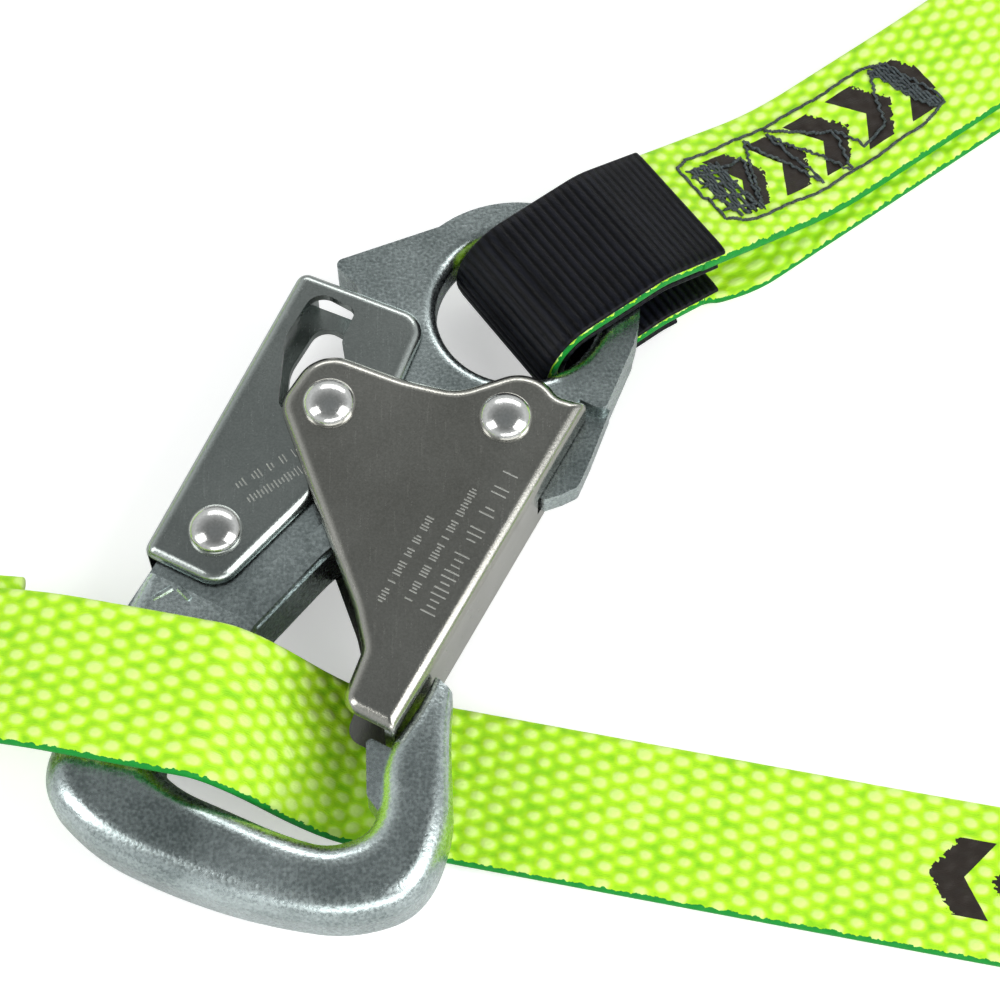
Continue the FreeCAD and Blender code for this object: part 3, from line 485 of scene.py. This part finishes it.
# The loop in each hook's eye. Heights are above the floor and distances run out from the eye's centre.
PLANE = 11.0
BEND = 6.9
BEND_LEFT = 5.4 - BEND
LOOP_TOP, LOOP_BOTTOM = PLANE + BEND, PLANE - BEND
EYE_BEND = [(BEND_LEFT, LOOP_TOP, BEND), (BEND_LEFT, LOOP_BOTTOM, BEND)]
EYE = Vector((-9.0, 21.0, 0.0)) * MM
eye_at = {hook: place @ EYE for hook, place in hook_frames.items()}
LANE = {"anchor": math.radians(36.4), "harness": math.pi}


def lane_left(hook):
    return Vector((-math.sin(LANE[hook]), math.cos(LANE[hook]), 0))


def lane_point(hook, distance, height, sideways=0.0):
    """A point beside an eye: distance along the leg, height over the floor, sideways to its left, mm."""
    out = Vector((math.cos(LANE[hook]), math.sin(LANE[hook]), 0))
    base = Vector((eye_at[hook].x, eye_at[hook].y, 0))
    return base + out * (distance * MM) + lane_left(hook) * (sideways * MM) + UP * (height * MM)


SLOPE_TOP = 21.0
SLOPE_FOOT = (60.0, 3.55)
CORD_START = 29.0


def on_slope(distance):
    part_way = (distance - SLOPE_TOP) / (SLOPE_FOOT[0] - SLOPE_TOP)
    return LOOP_TOP + (SLOPE_FOOT[1] - LOOP_TOP) * part_way


plain_webbing = webbing_material("lime_webbing", [])
loop_line = [(CORD_START, on_slope(CORD_START)), (SLOPE_TOP, LOOP_TOP, 12)] + EYE_BEND
loop_line += [(22.0, LOOP_BOTTOM, 12), (36.0, 1.12, 10), (109.0, 1.12)]
TAIL_SIDE = 3.0


def tail_side(distance):
    """The cut end lies a little to the right of the leg above it."""
    part_way = min(1.0, max(0.0, (distance - 30.0) / 14.0))
    return -TAIL_SIDE * part_way * part_way * (3 - 2 * part_way)


loop_trail = bent_line(loop_line, 0.62)
bottom_from = len(loop_trail) // 3
middles = [
    lane_point("anchor", spot.x, spot.y, tail_side(spot.x) if i > bottom_from else 0.0)
    for i, spot in enumerate(loop_trail)
]
LOOP_WIDTH = WIDTH - 0.4 * MM
anchor_loop = strap_piece("anchor_eye_loop", middles, [lane_left("anchor")] * len(middles), LOOP_WIDTH,
                          THICK, picks, PICK_RISE * 0.5, plain_webbing, "root", 0.7 * MM)
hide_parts("anchor_leg", "anchor_tail")

PACK_REACH = 82.0
harness_line = [(PACK_REACH, 14.15), (46.0, 14.15, 30), (SLOPE_TOP, LOOP_TOP, 20)] + EYE_BEND
harness_line += [(22.0, LOOP_BOTTOM, 12), (44.0, 11.85, 30), (PACK_REACH, 11.85)]
harness_trail = bent_line(harness_line, 0.65)
middles = [lane_point("harness", spot.x, spot.y) for spot in harness_trail]
harness_loop = strap_piece("harness_eye_loop", middles, [lane_left("harness")] * len(middles), LOOP_WIDTH,
                           THICK, picks, PICK_RISE * 0.4, plain_webbing, "root", 0.7 * MM)
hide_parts("harness_leg")

# The wear pads: two layers of black ribbed tape that line and wrap each loop, so steel never
# rubs the load-bearing webbing. The ribs run across the tape.
pad_black = bpy.data.materials.new("black_ribbed_tape")
tree, shader = node_tree(pad_black)
lay = wire(tree, "ShaderNodeAttribute", {"attribute_name": "lay"}).outputs["Vector"]
thread_lay = wire(tree, "ShaderNodeMapping", _0=lay, Scale=(5200.0, 1500.0, 1.0))
threads = wire(tree, "ShaderNodeTexNoise", Vector=thread_lay.outputs[0], Scale=1.0, Detail=3.0)
worn = wire(tree, "ShaderNodeTexNoise", Vector=lay, Scale=160.0, Detail=3.0)
RIB = 1.5 * MM
lay_parts = wire(tree, "ShaderNodeSeparateXYZ", _0=lay)
rib_turn = maths(tree, "MULTIPLY", lay_parts.outputs[0], math.pi / RIB)
rib_wave = maths(tree, "COSINE", rib_turn)
rib_top = maths(tree, "ABSOLUTE", rib_wave)
# The tape's colour is multiplied by the rib wave: painted shade in the grooves between the ribs and a
# painted highlight on the rib tops, over the tape's own uneven black.
tone = maths(tree, "MULTIPLY_ADD", threads.outputs["Fac"], 0.6, worn.outputs["Fac"])
rib_painted_light_tone = maths(tree, "MULTIPLY", tone, rib_top)
black_with_painted_rib_light = ramp(tree, rib_painted_light_tone, (0.30, 0.0008, 0.0009, 0.0014), (1.1, 0.0075, 0.0085, 0.014))
tree.links.new(black_with_painted_rib_light, shader.inputs["Base Color"])
shader.inputs["Roughness"].default_value = 0.36
shader.inputs["Specular IOR Level"].default_value = 0.14
bumped(tree, shader, threads.outputs["Fac"], 0.5, 0.0002)
INNER_PAD, OUTER_PAD = 1.2 * MM, 1.4 * MM


def ribs(along, across):
    return math.sqrt(abs(math.cos(math.pi * along / RIB)))


def beside(trail, distance):
    """A flat trail moved sideways, to its left if distance is positive."""
    moved = []
    for i, spot in enumerate(trail):
        before, after = trail[max(i - 1, 0)], trail[min(i + 1, len(trail) - 1)]
        along = (after - before).normalized()
        moved.append(spot + Vector((-along.y, along.x)) * distance)
    return moved


pad_lines = {
    "anchor": ([(33.0, on_slope(33.0)), (SLOPE_TOP, LOOP_TOP, 12)] + EYE_BEND,
               [(22.0, LOOP_BOTTOM, 12), (33.0, 1.75)], [(22.0, LOOP_BOTTOM, 6), (25.0, 3.46)]),
    "harness": ([(33.0, LOOP_TOP - 1.8), (SLOPE_TOP, LOOP_TOP, 20)] + EYE_BEND,
                [(22.0, LOOP_BOTTOM, 12), (33.0, 7.97)], [(22.0, LOOP_BOTTOM, 12), (33.0, 7.97)]),
}
for hook, (top, inner_end, outer_end) in pad_lines.items():
    for layer, ending, shift, thick in (
        ("inner", inner_end, (THICK + INNER_PAD) / 2, INNER_PAD),
        ("outer", outer_end, -(THICK + OUTER_PAD) / 2, OUTER_PAD),
    ):
        trail = bent_line(top + ending, 0.3)
        trail = even(beside(trail, shift / MM), 0.25)
        middles = [lane_point(hook, spot.x, spot.y) for spot in trail]
        pad = strap_piece(f"{hook}_{layer}_wear_tape", middles, [lane_left(hook)] * len(middles), LOOP_WIDTH,
                          thick - 0.4 * MM, ribs, 0.26 * MM, pad_black, "root", 1.5 * MM)
        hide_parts(f"{hook}_wear_pad_{layer}")

# The long run of webbing: one piece from the anchor loop, round on its edge, back through the
# hook's own throat and over its spine, and round again to the shock absorber.
# Rows are (x, y, height, roll). A roll of 0 is flat, 90 stands on edge, 180 is turned over.
floor_zero = joint_at["anchor_gate_hinge"] - Vector((0.9, 10.0, PLANE)) * MM
STRAP_ZERO, STRAP_ALONG = Vector((-30.0, -40.5)), Vector((0.9815, -0.1914)).normalized()


def leg_stop(distance, height, roll):
    spot = (lane_point("anchor", distance, height) - floor_zero) / MM
    return (spot.x, spot.y, height, roll)


def strap_stop(distance, height, roll=180):
    spot = STRAP_ZERO + STRAP_ALONG * distance
    return (spot.x, spot.y, height, roll)


route = [
    leg_stop(CORD_START, on_slope(CORD_START), 0), leg_stop(44.0, on_slope(44.0), 0),
    leg_stop(*SLOPE_FOOT, 0), leg_stop(77.0, 3.55, 0), leg_stop(95.0, 3.55, 0), leg_stop(110.0, 3.9, 4),
    leg_stop(124.0, 6.5, 24), leg_stop(140.0, 12.2, 70), leg_stop(158.0, 12.7, 90), (165.0, 152.0, 12.7, 90),
    (222.0, 128.0, 12.7, 90), (240.0, 60.0, 12.7, 90), (238.0, -15.0, 12.7, 90), (225.0, -75.0, 12.7, 90),
    (190.0, -83.4, 12.7, 90),
    strap_stop(176.0, 12.7, 92), strap_stop(157.0, 12.4, 112), strap_stop(138.0, 7.0, 156),
    strap_stop(121.0, 2.0, 178), strap_stop(105.0, 1.3), strap_stop(68.0, 1.3), strap_stop(34.0, 1.3),
    strap_stop(14.0, 1.3), strap_stop(5.0, 1.3), strap_stop(-10.6, 19.35), strap_stop(-19.0, 19.4),
    strap_stop(-30.0, 19.4), strap_stop(-43.0, 19.2), strap_stop(-61.0, 14.3), strap_stop(-80.0, 9.2),
    strap_stop(-98.0, 4.2), strap_stop(-113.0, 1.6, 179), strap_stop(-126.0, 3.6, 160),
    strap_stop(-143.0, 11.0, 112), strap_stop(-160.0, 12.7, 90), strap_stop(-178.0, 12.7, 90),
    (-232.0, -1.1, 12.7, 90), (-282.0, 45.0, 12.7, 90), (-296.0, 108.0, 12.7, 90), (-277.0, 174.0, 12.7, 90),
    (-234.0, 215.0, 12.7, 90), (-202.0, 215.0, 12.7, 88), (-180.0, 215.0, 12.8, 62),
    (-162.0, 215.0, 13.0, 18), (-146.0, 215.0, 13.0, 0), (-128.0, 215.0, 13.0, 0), (-111.0, 215.0, 13.0, 0),
]


def spline_points(name, places):
    """Points read from a smooth NURBS spline with these control points."""
    curve = bpy.data.curves.new(name, "CURVE")
    curve.dimensions = "3D"
    spline = curve.splines.new("NURBS")
    spline.points.add(len(places) - 1)
    for point, place in zip(spline.points, places):
        point.co = (*place, 1.0)
    spline.order_u = 3
    spline.use_endpoint_u = True
    spline.resolution_u = 40
    holder = bpy.data.objects.new(name, curve)
    bpy.context.scene.collection.objects.link(holder)
    bpy.context.view_layer.update()
    read = bpy.data.meshes.new_from_object(holder)
    points = [v.co.copy() for v in read.vertices]
    bpy.data.objects.remove(holder)
    bpy.data.meshes.remove(read)
    bpy.data.curves.remove(curve)
    return points


route_at = [floor_zero + Vector(stop[:3]) * MM for stop in route]
selvage_at = []
for i, stop in enumerate(route):
    travel = route_at[min(i + 1, len(route) - 1)] - route_at[max(i - 1, 0)]
    travel.z = 0
    left = UP.cross(travel.normalized())
    roll = math.radians(stop[3])
    selvage_at.append(route_at[i] + (left * math.cos(roll) + UP * math.sin(roll)) * (WIDTH / 2))
route_line = spline_points("webbing_route", route_at)
selvage_line = spline_points("webbing_selvage", selvage_at)
strap_step = 0.65 * MM
lengths = [0.0]
for a, b in zip(route_line, route_line[1:]):
    lengths.append(lengths[-1] + (b - a).length)
count = round(lengths[-1] / strap_step)
middles, acrosses, k = [], [], 0
for i in range(count + 1):
    wanted = lengths[-1] * i / count
    while k < len(route_line) - 2 and lengths[k + 1] < wanted:
        k += 1
    part_way = (wanted - lengths[k]) / (lengths[k + 1] - lengths[k])
    middles.append(route_line[k].lerp(route_line[k + 1], part_way))
    acrosses.append(selvage_line[k].lerp(selvage_line[k + 1], part_way) - middles[-1])


def reached_at(spot):
    """How far along the run the place nearest to spot is."""
    nearest = min(range(len(middles)), key=lambda i: (middles[i] - spot).length)
    return lengths[-1] * nearest / count


mark_start = reached_at(floor_zero + Vector(strap_stop(127.0, 2.0)[:3]) * MM)
mark_end = reached_at(floor_zero + Vector(strap_stop(97.0, 2.0)[:3]) * MM)
leg_mark = (0.0125, 0.0625)
run_webbing = webbing_material("lime_webbing_printed", [leg_mark, (mark_start, mark_end)])
long_run = strap_piece("lanyard_webbing", middles, acrosses, WIDTH, THICK, picks, PICK_RISE, run_webbing,
                       "root", 0.62 * MM)
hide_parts("webbing_twist_out", "webbing_tie_back_loop", "webbing_twist_in", "webbing_floor_run",
            "webbing_through_throat", "webbing_left_run", "webbing_twist_down", "webbing_return_bend",
            "webbing_twist_up", "webbing_pack_lead")

# The doubler: a short second layer under the strap where it comes down off the hook.
first = round(reached_at(floor_zero + Vector(strap_stop(-48.0, 17.0)[:3]) * MM) / lengths[-1] * count)
last = round(reached_at(floor_zero + Vector(strap_stop(-99.0, 4.0)[:3]) * MM) / lengths[-1] * count)
DOUBLER_DROP, DOUBLER_SHIFT = THICK + 0.3 * MM, 3.2 * MM
doubler_middles = []
for i in range(first, last):
    along = (middles[i + 1] - middles[i - 1]).normalized()
    across = acrosses[i].normalized()
    under = along.cross(across)
    if under.z > 0:
        under = -under
    doubler_middles.append(middles[i] + under * DOUBLER_DROP + across * DOUBLER_SHIFT)
doubler = strap_piece("webbing_doubler_strip", doubler_middles, acrosses[first:last], WIDTH, THICK, picks,
                      PICK_RISE * 0.6, plain_webbing, "root", 0.7 * MM)
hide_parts("webbing_doubler")

# The box stitch: bonded dark grey thread sewn through both layers of the leg, as a long box with a
# zigzag inside it and a dense bar of stitches at each end.
thread_grey = bpy.data.materials.new("bonded_thread")
tree, shader = node_tree(thread_grey)
place = tree.nodes.new("ShaderNodeTexCoord")
ply = wire(tree, "ShaderNodeTexNoise", Vector=place.outputs["Object"], Scale=2600.0, Detail=2.0)
grey = ramp(tree, ply.outputs["Fac"], (0.3, 0.008, 0.012, 0.013), (0.75, 0.085, 0.11, 0.12))
tree.links.new(grey, shader.inputs["Base Color"])
shader.inputs["Roughness"].default_value = 0.45
bumped(tree, shader, ply.outputs["Fac"], 0.5, 0.0002)
THREAD = 0.29 * MM
STITCH = 2.9 * MM
SEW_STEP, SEW_SIDES = 0.36, 6


def leg_surface(distance, sideways):
    """The top of the leg, at a distance from the eye and to the left of its middle, mm."""
    wanted = (distance - CORD_START) * MM
    i = min(max(1, round(wanted / lengths[-1] * count)), count - 1)
    along = (middles[i + 1] - middles[i - 1]).normalized()
    across = acrosses[i].normalized()
    normal = along.cross(across)
    if normal.z < 0:
        normal = -normal
    return middles[i] + across * (sideways * MM) + normal * (THICK / 2 + PICK_RISE * 0.6), normal


def sewn(vertices, faces, corners, wander, surface):
    """A run of lockstitch along (distance, sideways) corners: each stitch rises and dips again."""
    trail = even([Vector(corner) for corner in corners], SEW_STEP)
    start, drift = len(vertices), wander.uniform(0.05, 0.2)
    for i, spot in enumerate(trail):
        base, normal = surface(spot.x + drift * math.sin(i * 0.21),
                               spot.y + drift * math.sin(i * 0.17 + 1.0))
        before, after = trail[max(i - 1, 0)], trail[min(i + 1, len(trail) - 1)]
        heading = surface(after.x, after.y)[0] - surface(before.x, before.y)[0]
        heading = heading.normalized() if heading.length > 0 else Vector((1, 0, 0))
        side = normal.cross(heading).normalized()
        lift = abs(math.sin(math.pi * i * SEW_STEP * MM / STITCH)) ** 0.5
        middle = base + normal * (THREAD * (1.5 * lift - 0.7))
        for j in range(SEW_SIDES):
            turn = 2 * math.pi * j / SEW_SIDES
            vertices.append(middle + side * (THREAD * math.cos(turn)) + normal * (THREAD * math.sin(turn)))
    for ring in range(len(trail) - 1):
        low, high = start + ring * SEW_SIDES, start + (ring + 1) * SEW_SIDES
        for j in range(SEW_SIDES):
            following = (j + 1) % SEW_SIDES
            faces.append((low + j, low + following, high + following, high + j))
    faces.append(tuple(range(start, start + SEW_SIDES)))
    faces.append(tuple(range(len(vertices) - 1, len(vertices) - 1 - SEW_SIDES, -1)))


box_runs = [
    [(39.5, -6.0), (38.5, 6.5), (41.5, 7.6), (60.0, 7.9), (84.0, 7.6), (87.5, 6.2)],
    [(39.5, -6.0), (43.0, -7.9), (62.0, -8.1), (84.0, -7.8), (91.0, -6.2), (90.5, -3.5), (87.5, 6.2)],
    [(41.0, 5.2), (48.5, 3.6), (52.0, 4.2), (47.5, -6.8)],
    [(47.5, -6.8), (55.0, 7.0), (62.5, -7.2), (60.0, 6.6), (68.5, -7.4), (71.0, 0.5), (60.5, 7.0)],
    [(71.0, 0.5), (73.5, -5.0), (79.0, -3.8), (84.0, 6.4)],
]
for offset in (0.0, 0.9, 1.8, 2.7):
    box_runs.append([(84.2 + offset, 6.8), (88.6 + offset * 0.6, -6.4), (83.8 + offset, 6.2)])
for offset in (0.0, 1.7, 3.4, 5.1):
    box_runs.append([(40.2 + offset, 5.6), (42.6 + offset * 0.9, -6.9), (41.4 + offset, 5.0)])
for sideways in (-4.8, -2.0, 0.8, 3.4):
    box_runs.append([(40.0, sideways + 0.6), (47.5, sideways - 0.7)])
wander = random.Random(5)
vertices, faces = [], []
for corners in box_runs:
    sewn(vertices, faces, corners, wander, leg_surface)
box_stitch = new_piece("anchor_leg_sewing", vertices, faces, thread_grey, "root")
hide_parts("anchor_box_stitch")

# The shock absorber's cover: coated black cloth sewn round the folded tear webbing, gathered at
# both ends where the webbing goes in, with a seam along each side.
cover_low, cover_high = (Vector(corner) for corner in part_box("absorber_cover"))
cover_black = bpy.data.materials.new("coated_cover_cloth")
tree, shader = node_tree(cover_black)
place = tree.nodes.new("ShaderNodeTexCoord")
cloth_lay = wire(tree, "ShaderNodeMapping", _0=place.outputs["Object"], Scale=(1500.0, 1500.0, 1500.0))
cloth = wire(tree, "ShaderNodeTexBrick", {"offset": 0.5}, Vector=cloth_lay.outputs[0], Scale=1.0)
dust = wire(tree, "ShaderNodeTexNoise", Vector=place.outputs["Object"], Scale=70.0, Detail=5.0)
dusty = ramp(tree, dust.outputs["Fac"], (0.35, 0.010, 0.010, 0.012), (0.80, 0.045, 0.045, 0.050))
tree.links.new(dusty, shader.inputs["Base Color"])
shader.inputs["Roughness"].default_value = 0.5
shader.inputs["Sheen Weight"].default_value = 0.1
bumped(tree, shader, cloth.outputs["Fac"], 0.3, 0.0002)
cover_middle = (cover_low + cover_high) / 2
cover_half = (cover_high - cover_low) / 2
COVER_RINGS, COVER_SIDES = 150, 72
GATHER, CORNER = 9.0 * MM, 0.55


def gathered(along):
    """Half the cover's width and height at a distance from its middle, and how full it is there."""
    gather = min(1.0, (cover_half.x - abs(along)) / GATHER)
    eased = gather * gather * (3 - 2 * gather)
    return cover_half.y * (0.70 + 0.285 * eased), cover_half.z * (0.30 + 0.685 * eased), eased


vertices, faces = [], []
for i in range(COVER_RINGS + 1):
    end_ward = -1 + 2 * i / COVER_RINGS
    half_width, half_height, eased = gathered(end_ward * cover_half.x)
    for j in range(COVER_SIDES):
        turn = 2 * math.pi * j / COVER_SIDES
        cosine, sine = math.cos(turn), math.sin(turn)
        across = math.copysign(abs(cosine) ** CORNER, cosine)
        rise = math.copysign(abs(sine) ** CORNER, sine)
        seam = 0.015 * math.exp(-((abs(math.sin(turn)) / 0.05) ** 2))
        crease = 0.006 * math.sin(end_ward * 9 + 2 * math.sin(turn * 2))
        crease += 0.004 * math.sin(end_ward * 31 + turn * 3)
        swell = 1 - 0.018 + crease * eased
        vertices.append(cover_middle + Vector((
            end_ward * cover_half.x, across * half_width * (swell + seam), rise * half_height * swell)))
for i in range(COVER_RINGS):
    low, high = i * COVER_SIDES, (i + 1) * COVER_SIDES
    for j in range(COVER_SIDES):
        following = (j + 1) % COVER_SIDES
        faces.append((low + j, low + following, high + following, high + j))
faces.append(tuple(range(COVER_SIDES)))
faces.append(tuple(range(len(vertices) - 1, len(vertices) - 1 - COVER_SIDES, -1)))
cover = new_piece("absorber_cloth_cover", vertices, faces, cover_black, "root")
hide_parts("absorber_cover")

# Folded webbing inside the cover: undyed, seen only if the cover is opened.
inner_cloth = bpy.data.materials.new("undyed_webbing")
tree, shader = node_tree(inner_cloth)
place = tree.nodes.new("ShaderNodeTexCoord")
inner_lay = wire(tree, "ShaderNodeMapping", _0=place.outputs["Object"], Scale=(400.0, 700.0, 400.0))
inner_weave = wire(tree, "ShaderNodeTexVoronoi", Vector=inner_lay.outputs[0], Scale=1.0)
cream = ramp(tree, inner_weave.outputs["Distance"], (0.0, 0.68, 0.64, 0.52), (1.0, 0.50, 0.46, 0.36))
tree.links.new(cream, shader.inputs["Base Color"])
shader.inputs["Roughness"].default_value = 0.7
bumped(tree, shader, inner_weave.outputs["Distance"], 0.4, 0.0003)
finish_node("absorber_tear_webbing", inner_cloth)
finish_node("absorber_backup_strap", inner_cloth)

# The label: a plain woven patch with generic bands, lying on the top of the cover.
label_low, label_high = (Vector(corner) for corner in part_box("absorber_label"))
label_middle, label_half = (label_low + label_high) / 2, (label_high - label_low) / 2
label_cloth = bpy.data.materials.new("label_patch_cloth")
tree, shader = node_tree(label_cloth)
place = tree.nodes.new("ShaderNodeTexCoord")
bands_at = wire(tree, "ShaderNodeSeparateXYZ", _0=place.outputs["Object"])
band_turns = maths(tree, "MULTIPLY", bands_at.outputs[0], 95.0)
band_step = maths(tree, "FRACT", band_turns)
band_mask = maths(tree, "LESS_THAN", band_step, 0.28)
soil = wire(tree, "ShaderNodeTexNoise", Vector=place.outputs["Object"], Scale=90.0, Detail=4.0)
white = ramp(tree, soil.outputs["Fac"], (0.3, 0.58, 0.57, 0.52), (0.7, 0.80, 0.79, 0.75))
banded = wire(tree, "ShaderNodeMix", {"data_type": "RGBA"}, _0=band_mask, _6=white)
banded.inputs[7].default_value = (0.30, 0.72, 0.02, 1)
tree.links.new(banded.outputs[2], shader.inputs["Base Color"])
shader.inputs["Roughness"].default_value = 0.6
bumped(tree, shader, soil.outputs["Fac"], 0.2, 0.0002)
vertices, faces = [], []
LABEL_GRID, LABEL_SUNK = (34, 13), 0.2 * MM
for face in (1, -1):
    for i in range(LABEL_GRID[0] + 1):
        for j in range(LABEL_GRID[1] + 1):
            x, y = -1 + 2 * i / LABEL_GRID[0], -1 + 2 * j / LABEL_GRID[1]
            rim = max(abs(x) ** 14, abs(y) ** 14)
            droop = 0.00012 * (y * y) + 0.00003 * math.sin(x * 7)
            vertices.append(label_middle + Vector((
                x * label_half.x, y * label_half.y,
                face * label_half.z * (1 - 0.6 * rim) - droop - LABEL_SUNK)))
stride, sheet_size = LABEL_GRID[1] + 1, (LABEL_GRID[0] + 1) * (LABEL_GRID[1] + 1)
for i in range(LABEL_GRID[0]):
    for j in range(LABEL_GRID[1]):
        quad = (i * stride + j, (i + 1) * stride + j, (i + 1) * stride + j + 1, i * stride + j + 1)
        faces.append(quad)
        faces.append(tuple(sheet_size + k for k in reversed(quad)))
rim_loop = [i * stride for i in range(LABEL_GRID[0] + 1)]
rim_loop += [LABEL_GRID[0] * stride + j for j in range(1, stride)]
rim_loop += [i * stride + stride - 1 for i in range(LABEL_GRID[0] - 1, -1, -1)]
rim_loop += list(range(stride - 2, 0, -1))
for a, b in zip(rim_loop, rim_loop[1:] + rim_loop[:1]):
    faces.append((a, b, sheet_size + b, sheet_size + a))
label = new_piece("absorber_label_patch", vertices, faces, label_cloth, "root")
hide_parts("absorber_label")

# Sewing on the absorber: two rows of the same thread across the top of each gathered end, which
# hold the cover closed round the webbing.


def cover_top(x, y):
    """A place on the top of the cover, x and y in mm from its middle."""
    along, across = x * MM, y * MM
    half_width, half_height, _ = gathered(along)
    share = min(0.97, abs(across) / half_width)
    rise = (1 - share ** (2 / CORNER)) ** (CORNER / 2)
    return cover_middle + Vector((along, across, half_height * rise * 0.985)), UP


vertices, faces = [], []
for x in (-90.5, -87.5, 87.5, 90.5):
    sewn(vertices, faces, [(x, -14.0), (x, 14.0)], wander, cover_top)
new_piece("absorber_end_sewing", vertices, faces, thread_grey, "root")

# The pale floor, soft studio light from above and both sides, and the camera.
floor_mesh = bpy.data.meshes.new("floor")
reach, FLOOR_GAP = 3.0, 0.2 * MM
corners = [(-reach, -reach, 0), (reach, -reach, 0), (reach, reach, 0), (-reach, reach, 0)]
floor_mesh.from_pydata(corners, [], [(0, 1, 2, 3)])
floor = bpy.data.objects.new("floor", floor_mesh)
floor.location.z = -FLOOR_GAP
bpy.context.scene.collection.objects.link(floor)
floor_white = bpy.data.materials.new("floor_white")
tree, shader = node_tree(floor_white)
shader.inputs["Base Color"].default_value = (0.80, 0.80, 0.80, 1)
shader.inputs["Roughness"].default_value = 0.9
sight = tree.nodes.new("ShaderNodeLightPath")
glow = maths(tree, "MULTIPLY", sight.outputs["Is Camera Ray"], 0.45)
shader.inputs["Emission Color"].default_value = (1, 1, 1, 1)
tree.links.new(glow, shader.inputs["Emission Strength"])
floor_mesh.materials.append(floor_white)

bpy.context.scene.view_settings.view_transform = "Standard"
world = bpy.data.worlds.new("studio")
bpy.context.scene.world = world
world.use_nodes = True
sky = world.node_tree
facing = sky.nodes.new("ShaderNodeTexCoord")
height_of = wire(sky, "ShaderNodeSeparateXYZ", _0=facing.outputs["Generated"])
dome = ramp(sky, height_of.outputs[2], (0.0, 0.60, 0.62, 0.62), (1.0, 0.22, 0.235, 0.24),
            (0.45, 0.76, 0.78, 0.79), (0.86, 0.24, 0.25, 0.25))
sky.links.new(dome, sky.nodes["Background"].inputs["Color"])
sky.nodes["Background"].inputs["Strength"].default_value = 1.0
aim = floor_zero + Vector((0, 0, 10 * MM))


def softbox(name, direction, distance, width, height, power):
    light = bpy.data.lights.new(name, "AREA")
    light.shape, light.size, light.size_y, light.energy = "RECTANGLE", width, height, power
    lamp = bpy.data.objects.new(name, light)
    lamp.location = aim + Vector(direction).normalized() * distance
    lamp.rotation_euler = (aim - lamp.location).to_track_quat("-Z", "Y").to_euler()
    bpy.context.scene.collection.objects.link(lamp)


softbox("key_right", (0.9, -0.35, 0.72), 1.1, 0.6, 0.9, 7.0)
softbox("fill_left", (-0.9, -0.3, 0.8), 1.3, 0.5, 0.9, 5.0)
softbox("front_low", (0.25, -0.95, 0.45), 1.2, 1.3, 0.35, 4.5)
softbox("back_strip", (0.1, 0.9, 0.55), 1.2, 1.1, 0.22, 3.2)

camera_data = bpy.data.cameras.new("camera")
camera_data.lens, camera_data.sensor_width = 90.0, 36.0
camera_data.clip_start = 0.01
camera = bpy.data.objects.new("camera", camera_data)
ELEVATION, CAMERA_DISTANCE = math.radians(64), 0.3994
camera.location = aim + Vector((0, -math.cos(ELEVATION), math.sin(ELEVATION))) * CAMERA_DISTANCE
camera.rotation_euler = (math.radians(90) - ELEVATION, 0, 0)
bpy.context.scene.collection.objects.link(camera)
bpy.context.scene.camera = camera
